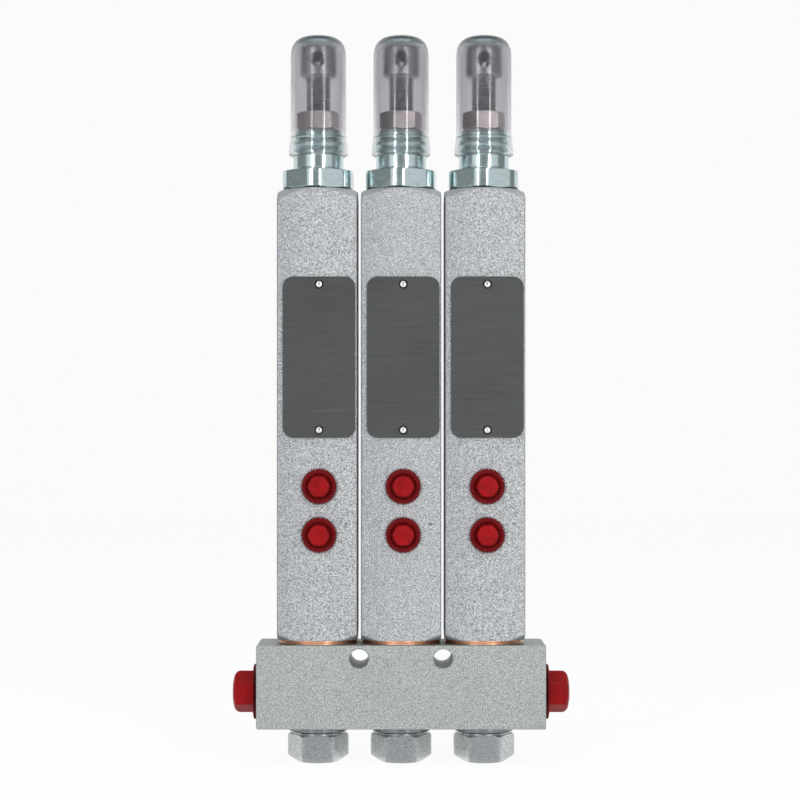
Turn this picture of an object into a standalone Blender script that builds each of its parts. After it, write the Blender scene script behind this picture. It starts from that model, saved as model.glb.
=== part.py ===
"""Grease injector manifold: three metering injectors on one square manifold bar.

Metres, +Z up. The origin is the centre of the manifold bar's back face, the face
that bolts to a machine. +X runs along the bar and the front looks along -Y.
Each injector is built on an empty on its own axis, so every turned piece and every
moving piece of it has its axis through that empty.
"""

import math

import bmesh
import bpy
from mathutils import Vector

# Set-out
INJECTOR_COUNT = 3
BODY_SPACING = 0.00135
SEAT_GAP = 0.0003
CUT_OVERRUN = 0.0010
MERGE_DISTANCE = 0.000001

# Facets round a turned piece
BODY_STEPS = 24
ROUND_STEPS = 18
INNER_STEPS = 12
SMALL_STEPS = 8

# Adaptor bolt, from below through the bar into an injector's foot
BOLT_SHANK = 0.0127
BOLT_REACH = 0.0120
BOLT_TIP_CHAMFER = 0.0008
BOLT_TIP_ROOM = 0.0020
BOLT_WAIST_DEPTH = 0.00175
BOLT_WAIST_MARGIN = 0.0010
BOLT_WAIST_SLOPE = 0.0012
BOLT_DRILL_WALL = 0.0021
BOLT_CROSS_DRILL = 0.0036
BOLT_SHOULDER = 0.00397
BOLT_HEAD = 0.0107
BOLT_CORNER = 0.00133
BOLT_TOP_EDGE = 0.0006
BOLT_FACE_SET_IN = 0.0005
BOLT_FACE_HEIGHT = 0.0007
BOLT_END_SET_IN = 0.0013
BOLT_END_ANGLE = math.radians(31.0)

# Washer under the bar and copper gasket on top of it
WASHER_RIM = 0.0013
WASHER_THICK = 0.0018
GASKET_WIDTH = 0.00535
GASKET_THICK = 0.0011

# Manifold bar
BAR_DEPTH = 0.03175
BAR_HEIGHT = 0.03175
BAR_END_WALL = 0.00335
BAR_EDGE = 0.0006
GALLERY_HEIGHT = 0.0128
GALLERY_BORE = 0.0090
MOUNT_HOLE = 0.0072
MOUNT_HOLE_DROP = 0.0050

# Piston with its indicator stem, and its packing
INDICATOR_STEM = 0.0050
INDICATOR_TIP = 0.0014
PISTON = 0.0154
PISTON_LENGTH = 0.0200
PISTON_STANDOFF = 0.0017
PISTON_CHAMFER = 0.0006
PACKING_WIDTH = 0.0022
PACKING_HEIGHT = 0.0024
PACKING_RISE = 0.0080
SPIGOT_LENGTH = 0.0020
SPIGOT_ROOM = 0.0008

# Spring and its seat
SPRING_WIRE = 0.0018
SPRING_MEAN = 0.0115
SPRING_TURNS = 5
SPRING_POINTS_A_TURN = 7
SEAT_THICK = 0.0027
SEAT_BORE = 0.0056

# Slide valve in the bore under the piston chamber
VALVE_LAND = 0.0074
VALVE_WAIST_DEPTH = 0.0013
VALVE_LAND_LENGTH = 0.0070
VALVE_TRAVEL = 0.0030
VALVE_HEAD_ROOM = 0.0013
VALVE_FOOT_ROOM = 0.0077

# Adjusting screw and its lock nut
SCREW_WALL = 0.00195
SCREW_STEM_LENGTH = 0.0364
SCREW_HEAD_LEDGE = 0.00225
SCREW_HEAD_HEIGHT = 0.0119
SCREW_HEAD_EDGE = 0.0007
SCREW_HEAD_RISE = 0.0134
SCREW_CROWN = 0.0044
SIGHT_HOLE = 0.0059
SIGHT_DROP = 0.0057
SIGHT_PAST = 0.0014
NUT_WALL = 0.0021
NUT_HEIGHT = 0.0069
NUT_CHAMFER = 0.0006
NUT_TURN = math.radians(-21.0)

# Stop plug, screwed into the injector's top, and its gasket
STOP_WALL = 0.00495
STOP_SHANK_LENGTH = 0.0137
STOP_FLOOR = 0.0050
STOP_SEAL_WIDTH = 0.0015
STOP_SEAL_THICK = 0.0014
STOP_LEDGE = 0.0010
STOP_CORNER = 0.0009
STOP_HEX_HEIGHT = 0.0068
STOP_CONE_HEIGHT = 0.0012
STOP_HEX_TURN = math.radians(-5.4)
STOP_COLLAR_HEIGHT = 0.0049
BARB_COUNT = 3
BARB_PITCH = 0.0032
BARB_LENGTH = 0.0027
BARB_DEPTH = 0.0005
BARB_STEP = 0.0005

# Clear cap over the adjusting screw
CAP_NUT_ROOM = 0.00115
CAP_WALL = 0.0012
CAP_HEAD_ROOM = 0.0022
CAP_ROOF = 0.0019
CAP_DOME = 0.0092
CAP_RIM_WALL = 0.0014
CAP_RIM_HEIGHT = 0.0010
CAP_LIP = 0.0006
CAP_FLARE_HEIGHT = 0.0076
CAP_DOME_STEPS = 5
CAP_ROOF_STEPS = 3
CAP_DOME_POWER_SHARE = 2.0 / 3.0

# Outlet plugs, in the two outlets on the front of each injector
OUTLET_SHANK = 0.0088
OUTLET_SHANK_LENGTH = 0.0070
OUTLET_TAPER = 0.0004
OUTLET_WALL = 0.0014
OUTLET_RIM = 0.0021
OUTLET_FLANGE_THICK = 0.0012
OUTLET_TEETH = 18
OUTLET_TOOTH = 0.0004
OUTLET_HEAD_SET_IN = 0.00085
OUTLET_CORNER = 0.0005
OUTLET_HEAD = 0.0046
OUTLET_HEAD_EDGE = 0.0004
OUTLET_DOME = 0.0001
OUTLET_PAD = 0.0003

# Inlet plugs, one in each end of the bar
INLET_SHANK = 0.0144
INLET_SHANK_LENGTH = 0.0110
INLET_TAPER = 0.0005
INLET_WALL = 0.0017
INLET_RIM = 0.00305
INLET_FLANGE_THICK = 0.0008
INLET_TEETH = 24
INLET_TOOTH = 0.0004
INLET_HEAD_SET_IN = 0.00015
INLET_CORNER = 0.0010
INLET_HEAD = 0.0075
INLET_HEAD_EDGE = 0.0014
INLET_DOME = 0.0008
INLET_PAD = 0.0004

# Injector body
BODY_SHOULDER = 0.0011
BODY_TOP_RIM = 0.0001
BODY_EDGE = 0.0010
BODY_TOP_ANGLE = math.radians(29.0)
BODY_FOOT_ROUND = 0.0350
BODY_FOOT_ANGLE = math.radians(32.0)
FRONT_OFFSET = 0.0008
OUTLET_HEIGHT = 0.0400
OUTLET_GAP = 0.0047
OUTLET_ROOM = 0.0015
OUTLET_DRILL = 0.0040
INLET_ROOM = 0.0020
PISTON_FLOOR_RISE = 0.0030
PINHOLE = 0.0008
PINHOLE_DEPTH = 0.0010
PINHOLE_ASIDE = 0.0102
PINHOLE_RISE = 0.0042

# Name plate and its two drive pins
PLATE_MARGIN = 0.0015
PLATE_HEIGHT = 0.0608
PLATE_THICK = 0.0008
PLATE_CORNER = 0.0040
PLATE_CORNER_STEPS = 3
PLATE_ABOVE_OUTLET = 0.0116
PLATE_BELOW_TOP = 0.0339
PIN_MARGIN = 0.0029
PIN_SHANK = 0.0012
PIN_DEPTH = 0.0035
PIN_HEAD = 0.0024
PIN_HEAD_HEIGHT = 0.0006

# Shares of a hexagon cutter's frame, a rounded edge and a pin's domed head
FRAME_SHARE = 2.0
EDGE_SHARE = 0.3
PIN_CROWN_SHARE = 0.9
PIN_BROW_SHARE = 0.35
TIP_SHARE = 0.3

# Widths that follow from the sizes above
BOLT_HOLE = BOLT_SHANK + 2 * SEAT_GAP
BOLT_WAIST = BOLT_SHANK - 2 * BOLT_WAIST_DEPTH
BOLT_DRILL = BOLT_WAIST - 2 * BOLT_DRILL_WALL
BOLT_FLATS = BOLT_SHANK + 2 * BOLT_SHOULDER
BOLT_ROUND = BOLT_FLATS + 2 * BOLT_CORNER
BOLT_FACE = BOLT_FLATS - 2 * BOLT_FACE_SET_IN
BOLT_END = BOLT_FLATS - 2 * BOLT_END_SET_IN
WASHER_OUTER = BOLT_FACE + 2 * WASHER_RIM
GASKET_OUTER = BOLT_HOLE + 2 * GASKET_WIDTH
PISTON_BORE = PISTON + 2 * SEAT_GAP
VALVE_BORE = VALVE_LAND + 2 * SEAT_GAP
STEM_HOLE = INDICATOR_STEM + 2 * SEAT_GAP
SCREW_STEM = STEM_HOLE + 2 * SCREW_WALL
SCREW_HOLE = SCREW_STEM + 2 * SEAT_GAP
SCREW_HEAD = SCREW_STEM + 2 * SCREW_HEAD_LEDGE
NUT_FLATS = SCREW_HOLE + 2 * NUT_WALL
NUT_ROUND = NUT_FLATS * 2 / math.sqrt(3)
STOP_SHANK = SCREW_HOLE + 2 * STOP_WALL
STOP_HOLE = STOP_SHANK + 2 * SEAT_GAP
STOP_SEAL_OUTER = STOP_HOLE + 2 * STOP_SEAL_WIDTH
SEAL_POCKET = STOP_SEAL_OUTER + 2 * SEAT_GAP
STOP_FLATS = SEAL_POCKET + 2 * STOP_LEDGE
STOP_ROUND = STOP_FLATS + 2 * STOP_CORNER
CAP_BORE = max(NUT_ROUND, SCREW_HEAD) + 2 * CAP_NUT_ROOM
CAP_TUBE = CAP_BORE + 2 * CAP_WALL
BARB_TIP_TOP = CAP_BORE - 2 * SEAT_GAP
BARB_TIP = BARB_TIP_TOP + 2 * BARB_STEP
BARB_ROOT = BARB_TIP_TOP - 2 * BARB_DEPTH
RIM_BORE = BARB_TIP + 2 * SEAT_GAP
CAP_RIM = RIM_BORE + 2 * CAP_RIM_WALL
BODY_TOP_ROUND = STOP_ROUND + 2 * BODY_TOP_RIM
BODY_WIDTH = BODY_TOP_ROUND + 2 * BODY_SHOULDER
INJECTOR_PITCH = BODY_WIDTH + BODY_SPACING
OUTLET_MOUTH = OUTLET_SHANK + 2 * SEAT_GAP
OUTLET_FLANGE = OUTLET_MOUTH + 2 * OUTLET_RIM
OUTLET_SPACING = OUTLET_FLANGE + OUTLET_GAP
OUTLET_DEPTH = OUTLET_SHANK_LENGTH + OUTLET_ROOM
INLET_BORE = INLET_SHANK + 2 * SEAT_GAP
INLET_FLANGE = INLET_BORE + 2 * INLET_RIM
INLET_DEPTH = INLET_SHANK_LENGTH + INLET_ROOM
BAR_END = BOLT_HOLE / 2 + BAR_END_WALL + INLET_DEPTH
BAR_LENGTH = (INJECTOR_COUNT - 1) * INJECTOR_PITCH + 2 * BAR_END
PLATE_WIDTH = BODY_WIDTH - 2 * PLATE_MARGIN

# Heights that follow from the sizes above
BAR_TOP = BAR_HEIGHT / 2
BAR_FOOT = -BAR_HEIGHT / 2
GALLERY_Z = BAR_FOOT + GALLERY_HEIGHT
BOLT_SEAT = BAR_FOOT - WASHER_THICK - 2 * SEAT_GAP
BODY_FOOT = BAR_TOP + GASKET_THICK + 2 * SEAT_GAP
BODY_FRONT = -BODY_WIDTH / 2
BOLT_TIP = BODY_FOOT + BOLT_REACH
BOLT_HOLE_END = BOLT_TIP + BOLT_TIP_ROOM
LOWER_OUTLET = BODY_FOOT + OUTLET_HEIGHT
UPPER_OUTLET = LOWER_OUTLET + OUTLET_SPACING
PISTON_FLOOR = UPPER_OUTLET + OUTLET_MOUTH / 2 + PISTON_FLOOR_RISE
PLATE_FOOT = UPPER_OUTLET + OUTLET_FLANGE / 2 + PLATE_ABOVE_OUTLET
BODY_TOP = PLATE_FOOT + PLATE_HEIGHT + PLATE_BELOW_TOP
STOP_FOOT = BODY_TOP + SEAT_GAP
STOP_END = BODY_TOP - STOP_SHANK_LENGTH
STOP_FLOOR_TOP = STOP_END + STOP_FLOOR
COLLAR_FOOT = STOP_FOOT + STOP_HEX_HEIGHT + STOP_CONE_HEIGHT
COLLAR_TOP = COLLAR_FOOT + STOP_COLLAR_HEIGHT
NECK_TOP = COLLAR_TOP + BARB_COUNT * BARB_PITCH
NUT_FOOT = NECK_TOP + SEAT_GAP
NUT_TOP = NUT_FOOT + NUT_HEIGHT
SCREW_HEAD_FOOT = NUT_TOP + SCREW_HEAD_RISE
SCREW_TOP = SCREW_HEAD_FOOT + SCREW_HEAD_HEIGHT
SCREW_BORE_END = SCREW_TOP - SCREW_CROWN
PISTON_TOP = STOP_END - PISTON_STANDOFF
PISTON_FOOT = PISTON_TOP - PISTON_LENGTH
SEAT_TOP = PISTON_FLOOR + SEAT_GAP + SEAT_THICK
VALVE_TOP = PISTON_FLOOR - VALVE_HEAD_ROOM - VALVE_TRAVEL
VALVE_FOOT = BOLT_HOLE_END + VALVE_FOOT_ROOM
CAP_TOP = SCREW_TOP + CAP_HEAD_ROOM + CAP_ROOF

FACING_FRONT = (math.pi / 2, 0, 0)

# Half a facet's turn, so that no corner of a bore meets a corner of what it cuts
BODY_TURN = (0, 0, math.pi / BODY_STEPS)
INNER_TURN = (0, 0, math.pi / INNER_STEPS)

MODEL_NAME = "grease_injector_manifold"
CUTTER_NAME = "cutters"


def clear_scene():
    """Remove every object, so that the script starts from nothing."""
    for obj in list(bpy.data.objects):
        bpy.data.objects.remove(obj, do_unlink=True)


def collection(name):
    """The collection of this name, made and linked to the scene on first use."""
    found = bpy.data.collections.get(name)
    if found is None:
        found = bpy.data.collections.new(name)
        bpy.context.scene.collection.children.link(found)
    return found


def finish(name, colour, roughness, metallic, alpha=1.0):
    """A Principled material of one plain colour."""
    made = bpy.data.materials.new(name)
    made.use_nodes = True
    shader = made.node_tree.nodes["Principled BSDF"]
    shader.inputs["Base Color"].default_value = (*colour, 1.0)
    shader.inputs["Roughness"].default_value = roughness
    shader.inputs["Metallic"].default_value = metallic
    shader.inputs["Alpha"].default_value = alpha
    made.diffuse_color = (*colour, alpha)
    return made


def make_finishes():
    """The finishes of the object, by name."""
    return {
        "blasted zinc": finish("blasted_zinc", (0.48, 0.50, 0.51), 0.55, 0.7),
        "bar zinc": finish("bar_zinc", (0.40, 0.44, 0.40), 0.55, 0.7),
        "bright zinc": finish("bright_zinc", (0.62, 0.68, 0.69), 0.22, 1.0),
        "bolt zinc": finish("bolt_zinc", (0.50, 0.51, 0.49), 0.40, 0.9),
        "screw steel": finish("screw_steel", (0.22, 0.22, 0.24), 0.35, 1.0),
        "bare steel": finish("bare_steel", (0.45, 0.45, 0.46), 0.30, 1.0),
        "copper": finish("copper", (0.56, 0.25, 0.15), 0.35, 1.0),
        "dark washer": finish("dark_washer", (0.10, 0.10, 0.11), 0.45, 0.9),
        "plate": finish("plate_grey", (0.10, 0.105, 0.107), 0.38, 0.8),
        "pin": finish("pin_aluminium", (0.72, 0.72, 0.72), 0.30, 1.0),
        "red plastic": finish("red_plastic", (0.36, 0.010, 0.014), 0.35, 0.0),
        "clear plastic": finish("clear_plastic", (0.80, 0.83, 0.85), 0.15, 0.0, 0.35),
        "packing": finish("packing_rubber", (0.02, 0.02, 0.02), 0.6, 0.0),
    }


def keep(obj, finish_used, parent=None, where=(0, 0, 0), turn=(0, 0, 0)):
    """Place a finished piece of the object in the model's collection."""
    collection(MODEL_NAME).objects.link(obj)
    if obj.data.materials:
        obj.data.materials[0] = finish_used
    else:
        obj.data.materials.append(finish_used)
    obj.parent = parent
    obj.location = where
    obj.rotation_euler = turn
    return obj


def keep_cutter(obj, parent=None, where=(0, 0, 0), turn=(0, 0, 0)):
    """Place a cutter in the cutters' collection, out of the render."""
    collection(CUTTER_NAME).objects.link(obj)
    obj.hide_render = True
    obj.display_type = "WIRE"
    obj.parent = parent
    obj.location = where
    obj.rotation_euler = turn
    return obj


def axis_empty(name, where):
    """An empty on the axis that the pieces of one injector share."""
    empty = bpy.data.objects.new(name, None)
    collection(MODEL_NAME).objects.link(empty)
    empty.location = where
    return empty


def combine(obj, other, operation):
    """Cut obj by another solid, join it to it or keep what both hold."""
    modifier = obj.modifiers.new(other.name, "BOOLEAN")
    modifier.operation = operation
    modifier.solver = "EXACT"
    modifier.object = other


def turned(name, profile, steps, ring=False):
    """A turned solid. The (radius, height) profile runs down its outer side.

    A solid piece starts and ends on the axis. A ring's profile closes on itself.
    """
    mesh = bpy.data.meshes.new(name)
    edges = [(i, i + 1) for i in range(len(profile) - 1)]
    if ring:
        edges.append((len(profile) - 1, 0))
    mesh.from_pydata([(radius, 0, height) for radius, height in profile], edges, [])
    obj = bpy.data.objects.new(name, mesh)
    spin = obj.modifiers.new("turned", "SCREW")
    spin.axis = "Z"
    spin.angle = 2 * math.pi
    spin.steps = steps
    spin.render_steps = steps
    spin.use_merge_vertices = True
    spin.merge_threshold = MERGE_DISTANCE
    spin.use_smooth_shade = True
    return obj


def circle_points(radius, steps, centre=(0, 0), turn=0.0):
    """Points round a circle in a plane."""
    angles = [turn + 2 * math.pi * i / steps for i in range(steps)]
    return [
        (centre[0] + radius * math.cos(a), centre[1] + radius * math.sin(a))
        for a in angles
    ]


def hexagon_points(flats, turn):
    """Corners of a hexagon that measures flats across its flats, one corner at turn."""
    return circle_points(flats / math.sqrt(3), 6, turn=turn)


def rounded_rectangle(width, height, corner, steps):
    """Outline of a rectangle with round corners, centred on zero."""
    points = []
    for quarter, (side_x, side_y) in enumerate(((1, 1), (-1, 1), (-1, -1), (1, -1))):
        centre_x = side_x * (width / 2 - corner)
        centre_y = side_y * (height / 2 - corner)
        for i in range(steps + 1):
            angle = math.pi / 2 * (quarter + i / steps)
            points.append(
                (
                    centre_x + corner * math.cos(angle),
                    centre_y + corner * math.sin(angle),
                )
            )
    return points


def toothed_circle(radius, tooth, count):
    """Outline of a disc with small pointed teeth."""
    points = []
    for i in range(2 * count):
        reach = radius - tooth * (i % 2)
        angle = math.pi * i / count
        points.append((reach * math.cos(angle), reach * math.sin(angle)))
    return points


def extruded(name, loops, foot, top):
    """A flat outline, with any holes as further loops, extruded from foot to top."""
    curve = bpy.data.curves.new(name + "_outline", "CURVE")
    curve.dimensions = "2D"
    curve.fill_mode = "BOTH"
    curve.extrude = (top - foot) / 2
    for points in loops:
        spline = curve.splines.new("POLY")
        spline.points.add(len(points) - 1)
        for point, (x, y) in zip(spline.points, points):
            point.co = (x, y, 0, 1)
        spline.use_cyclic_u = True
    drawn = bpy.data.objects.new(name + "_outline", curve)
    drawn.location = (0, 0, (top + foot) / 2)
    return as_mesh_object(name, drawn)


def as_mesh_object(name, drawn):
    """Turn a curve object into a mesh object whose caps are welded."""
    bpy.context.scene.collection.objects.link(drawn)
    bpy.context.view_layer.update()
    graph = bpy.context.evaluated_depsgraph_get()
    mesh = bpy.data.meshes.new_from_object(drawn.evaluated_get(graph))
    mesh.transform(drawn.matrix_world)
    welded = bmesh.new()
    welded.from_mesh(mesh)
    bmesh.ops.remove_doubles(welded, verts=welded.verts, dist=MERGE_DISTANCE)
    bmesh.ops.recalc_face_normals(welded, faces=welded.faces)
    welded.to_mesh(mesh)
    welded.free()
    bpy.data.objects.remove(drawn, do_unlink=True)
    mesh.name = name
    return bpy.data.objects.new(name, mesh)


def box(name, size, centre):
    """A box of a given size about a centre."""
    mesh = bpy.data.meshes.new(name)
    shape = bmesh.new()
    bmesh.ops.create_cube(shape, size=1)
    bmesh.ops.scale(shape, vec=Vector(size), verts=shape.verts)
    bmesh.ops.translate(shape, vec=Vector(centre), verts=shape.verts)
    shape.to_mesh(mesh)
    shape.free()
    return bpy.data.objects.new(name, mesh)


def bevel_edges(obj, width, upright_only=False):
    """Chamfer a box's edges, or only the upright ones."""
    shape = bmesh.new()
    shape.from_mesh(obj.data)
    edges = [
        edge
        for edge in shape.edges
        if not upright_only
        or edge.verts[0].co.xy == edge.verts[1].co.xy
    ]
    bmesh.ops.bevel(
        shape,
        geom=edges,
        offset=width,
        offset_type="OFFSET",
        segments=1,
        affect="EDGES",
        profile=0.5,
    )
    shape.to_mesh(obj.data)
    shape.free()


def drill_profile(diameter, foot, top):
    """Profile of a plain round cutter."""
    return [(0, top), (diameter / 2, top), (diameter / 2, foot), (0, foot)]


def hexagon_cutter(name, flats, foot, top, turn):
    """A frame with a hexagonal hole, which leaves a round piece with six flats."""
    loops = [hexagon_points(flats * FRAME_SHARE, turn), hexagon_points(flats, turn)]
    return extruded(name, loops, foot, top)


def make_manifold(finishes):
    """The square bar, its grease gallery, bolt holes and two mounting holes."""
    bar = box(
        "manifold",
        (BAR_LENGTH, BAR_DEPTH, BAR_HEIGHT),
        (0, -BAR_DEPTH / 2, 0),
    )
    bevel_edges(bar, BAR_EDGE)
    keep(bar, finishes["bar zinc"])
    end = BAR_LENGTH / 2
    mouth = end - INLET_DEPTH
    gallery = turned(
        "gallery_cutter",
        [
            (0, end + CUT_OVERRUN),
            (INLET_BORE / 2, end + CUT_OVERRUN),
            (INLET_BORE / 2, mouth),
            (GALLERY_BORE / 2, mouth),
            (GALLERY_BORE / 2, -mouth),
            (INLET_BORE / 2, -mouth),
            (INLET_BORE / 2, -end - CUT_OVERRUN),
            (0, -end - CUT_OVERRUN),
        ],
        ROUND_STEPS,
    )
    keep_cutter(gallery, None, (0, -BAR_DEPTH / 2, GALLERY_Z), (0, math.pi / 2, 0))
    combine(bar, gallery, "DIFFERENCE")
    for number, x in enumerate(injector_places(), 1):
        hole = turned(
            f"bolt_hole_cutter_{number}",
            drill_profile(
                BOLT_HOLE,
                BAR_FOOT - CUT_OVERRUN,
                BAR_TOP + CUT_OVERRUN,
            ),
            ROUND_STEPS,
        )
        keep_cutter(hole, None, (x, -BAR_DEPTH / 2, 0))
        combine(bar, hole, "DIFFERENCE")
    for number, x in enumerate(mount_hole_places(), 1):
        hole = turned(
            f"mount_hole_cutter_{number}",
            drill_profile(MOUNT_HOLE, -CUT_OVERRUN, BAR_DEPTH + CUT_OVERRUN),
            ROUND_STEPS,
        )
        keep_cutter(hole, None, (x, 0, BAR_TOP - MOUNT_HOLE_DROP), (math.pi / 2, 0, 0))
        combine(bar, hole, "DIFFERENCE")


def injector_places():
    """Where each injector's axis stands along the bar."""
    first = -(INJECTOR_COUNT - 1) / 2 * INJECTOR_PITCH
    return [first + i * INJECTOR_PITCH for i in range(INJECTOR_COUNT)]


def mount_hole_places():
    """A mounting hole lies halfway between each pair of injectors."""
    return [x + INJECTOR_PITCH / 2 for x in injector_places()[:-1]]


def make_injector_body(number, axis, finishes):
    """The square body: coned ends, stepped bore, two outlets and the pin holes."""
    name = f"injector_body_{number}"
    body = box(
        name,
        (BODY_WIDTH, BODY_WIDTH, BODY_TOP - BODY_FOOT + 2 * CUT_OVERRUN),
        (0, 0, (BODY_FOOT + BODY_TOP) / 2),
    )
    bevel_edges(body, BODY_EDGE, upright_only=True)
    keep(body, finishes["blasted zinc"], axis)

    wide = BODY_WIDTH
    top_fall = (wide - BODY_TOP_ROUND / 2) * math.tan(BODY_TOP_ANGLE)
    foot_rise = (wide - BODY_FOOT_ROUND / 2) * math.tan(BODY_FOOT_ANGLE)
    envelope = turned(
        f"body_envelope_{number}",
        [
            (0, BODY_TOP),
            (BODY_TOP_ROUND / 2, BODY_TOP),
            (wide, BODY_TOP - top_fall),
            (wide, BODY_FOOT + foot_rise),
            (BODY_FOOT_ROUND / 2, BODY_FOOT),
            (0, BODY_FOOT),
        ],
        BODY_STEPS,
    )
    keep_cutter(envelope, axis, turn=BODY_TURN)
    combine(body, envelope, "INTERSECT")

    pocket_foot = BODY_TOP - STOP_SEAL_THICK - SEAT_GAP
    stop_hole = turned(
        f"stop_hole_cutter_{number}",
        [
            (0, BODY_TOP + CUT_OVERRUN),
            (SEAL_POCKET / 2, BODY_TOP + CUT_OVERRUN),
            (SEAL_POCKET / 2, pocket_foot),
            (STOP_HOLE / 2, pocket_foot),
            (STOP_HOLE / 2, STOP_END - SEAT_GAP),
            (0, STOP_END - SEAT_GAP),
        ],
        ROUND_STEPS,
    )
    keep_cutter(stop_hole, axis)
    combine(body, stop_hole, "DIFFERENCE")

    bore = turned(
        f"body_bore_cutter_{number}",
        [
            (0, STOP_END),
            (PISTON_BORE / 2, STOP_END),
            (PISTON_BORE / 2, PISTON_FLOOR),
            (VALVE_BORE / 2, PISTON_FLOOR),
            (VALVE_BORE / 2, BOLT_TIP),
            (0, BOLT_TIP),
        ],
        INNER_STEPS,
    )
    keep_cutter(bore, axis, turn=INNER_TURN)
    combine(body, bore, "DIFFERENCE")

    bolt_hole = turned(
        f"body_bolt_hole_cutter_{number}",
        drill_profile(BOLT_HOLE, BODY_FOOT - CUT_OVERRUN, BOLT_HOLE_END),
        ROUND_STEPS,
    )
    keep_cutter(bolt_hole, axis)
    combine(body, bolt_hole, "DIFFERENCE")

    for outlet, height in enumerate((LOWER_OUTLET, UPPER_OUTLET), 1):
        port = turned(
            f"outlet_cutter_{number}_{outlet}",
            [
                (0, CUT_OVERRUN),
                (OUTLET_MOUTH / 2, CUT_OVERRUN),
                (OUTLET_MOUTH / 2, -OUTLET_DEPTH),
                (OUTLET_DRILL / 2, -OUTLET_DEPTH),
                (OUTLET_DRILL / 2, BODY_FRONT),
                (0, BODY_FRONT),
            ],
            INNER_STEPS,
        )
        keep_cutter(port, axis, (FRONT_OFFSET, BODY_FRONT, height), FACING_FRONT)
        combine(body, port, "DIFFERENCE")

    pinhole = turned(
        f"pinhole_cutter_{number}",
        drill_profile(PINHOLE, -PINHOLE_DEPTH, CUT_OVERRUN),
        SMALL_STEPS,
    )
    pinhole_z = LOWER_OUTLET + PINHOLE_RISE
    keep_cutter(
        pinhole,
        axis,
        (FRONT_OFFSET + PINHOLE_ASIDE, BODY_FRONT, pinhole_z),
        FACING_FRONT,
    )
    combine(body, pinhole, "DIFFERENCE")

    for end, height in enumerate(pin_heights(), 1):
        hole = turned(
            f"pin_hole_cutter_{number}_{end}",
            drill_profile(PIN_SHANK + 2 * SEAT_GAP, -PIN_DEPTH, CUT_OVERRUN),
            SMALL_STEPS,
        )
        keep_cutter(hole, axis, (FRONT_OFFSET, BODY_FRONT, height), FACING_FRONT)
        combine(body, hole, "DIFFERENCE")


def pin_heights():
    """Heights of the lower and the upper drive pin."""
    return [PLATE_FOOT + PIN_MARGIN, PLATE_FOOT + PLATE_HEIGHT - PIN_MARGIN]


def make_stop_plug(number, axis, finishes):
    """The hexagonal stop plug with its collar and the barbs that grip the cap."""
    profile = [(SCREW_HOLE / 2, NECK_TOP)]
    for barb in range(BARB_COUNT):
        top = NECK_TOP - barb * BARB_PITCH
        tip = BARB_TIP_TOP if barb == 0 else BARB_TIP
        profile += [(BARB_ROOT / 2, top), (tip / 2, top - BARB_LENGTH)]
    profile += [
        (BARB_ROOT / 2, COLLAR_TOP),
        (BARB_TIP / 2, COLLAR_TOP),
        (BARB_TIP / 2, COLLAR_FOOT),
        (STOP_ROUND / 2, COLLAR_FOOT - STOP_CONE_HEIGHT),
        (STOP_ROUND / 2, STOP_FOOT),
        (STOP_SHANK / 2, STOP_FOOT),
        (STOP_SHANK / 2, STOP_END),
        (STEM_HOLE / 2, STOP_END),
        (STEM_HOLE / 2, STOP_FLOOR_TOP),
        (SCREW_HOLE / 2, STOP_FLOOR_TOP),
    ]
    plug = turned(f"stop_plug_{number}", profile, ROUND_STEPS, ring=True)
    keep(plug, finishes["bright zinc"], axis)
    flats = hexagon_cutter(
        f"stop_plug_flats_{number}",
        STOP_FLATS,
        STOP_FOOT - CUT_OVERRUN,
        COLLAR_FOOT + CUT_OVERRUN,
        STOP_HEX_TURN - math.pi / 2,
    )
    keep_cutter(flats, axis)
    combine(plug, flats, "DIFFERENCE")

    seal = ring_solid(
        f"stop_plug_gasket_{number}",
        STOP_HOLE,
        STOP_SEAL_OUTER,
        BODY_TOP - STOP_SEAL_THICK,
        BODY_TOP,
        ROUND_STEPS,
    )
    keep(seal, finishes["packing"], axis)


def ring_solid(name, inner, outer, foot, top, steps):
    """A plain flat ring."""
    profile = [
        (inner / 2, top),
        (outer / 2, top),
        (outer / 2, foot),
        (inner / 2, foot),
    ]
    return turned(name, profile, steps, ring=True)


def make_lock_nut(number, axis, finishes):
    """The hexagonal nut that locks the adjusting screw."""
    corner = NUT_ROUND / 2
    end = NUT_FLATS / 2
    nut = turned(
        f"lock_nut_{number}",
        [
            (SCREW_HOLE / 2, NUT_TOP),
            (end, NUT_TOP),
            (corner, NUT_TOP - NUT_CHAMFER),
            (corner, NUT_FOOT + NUT_CHAMFER),
            (end, NUT_FOOT),
            (SCREW_HOLE / 2, NUT_FOOT),
        ],
        ROUND_STEPS,
        ring=True,
    )
    keep(nut, finishes["bare steel"], axis)
    flats = hexagon_cutter(
        f"lock_nut_flats_{number}",
        NUT_FLATS,
        NUT_FOOT - CUT_OVERRUN,
        NUT_TOP + CUT_OVERRUN,
        NUT_TURN - math.pi / 2,
    )
    keep_cutter(flats, axis)
    combine(nut, flats, "DIFFERENCE")


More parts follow.
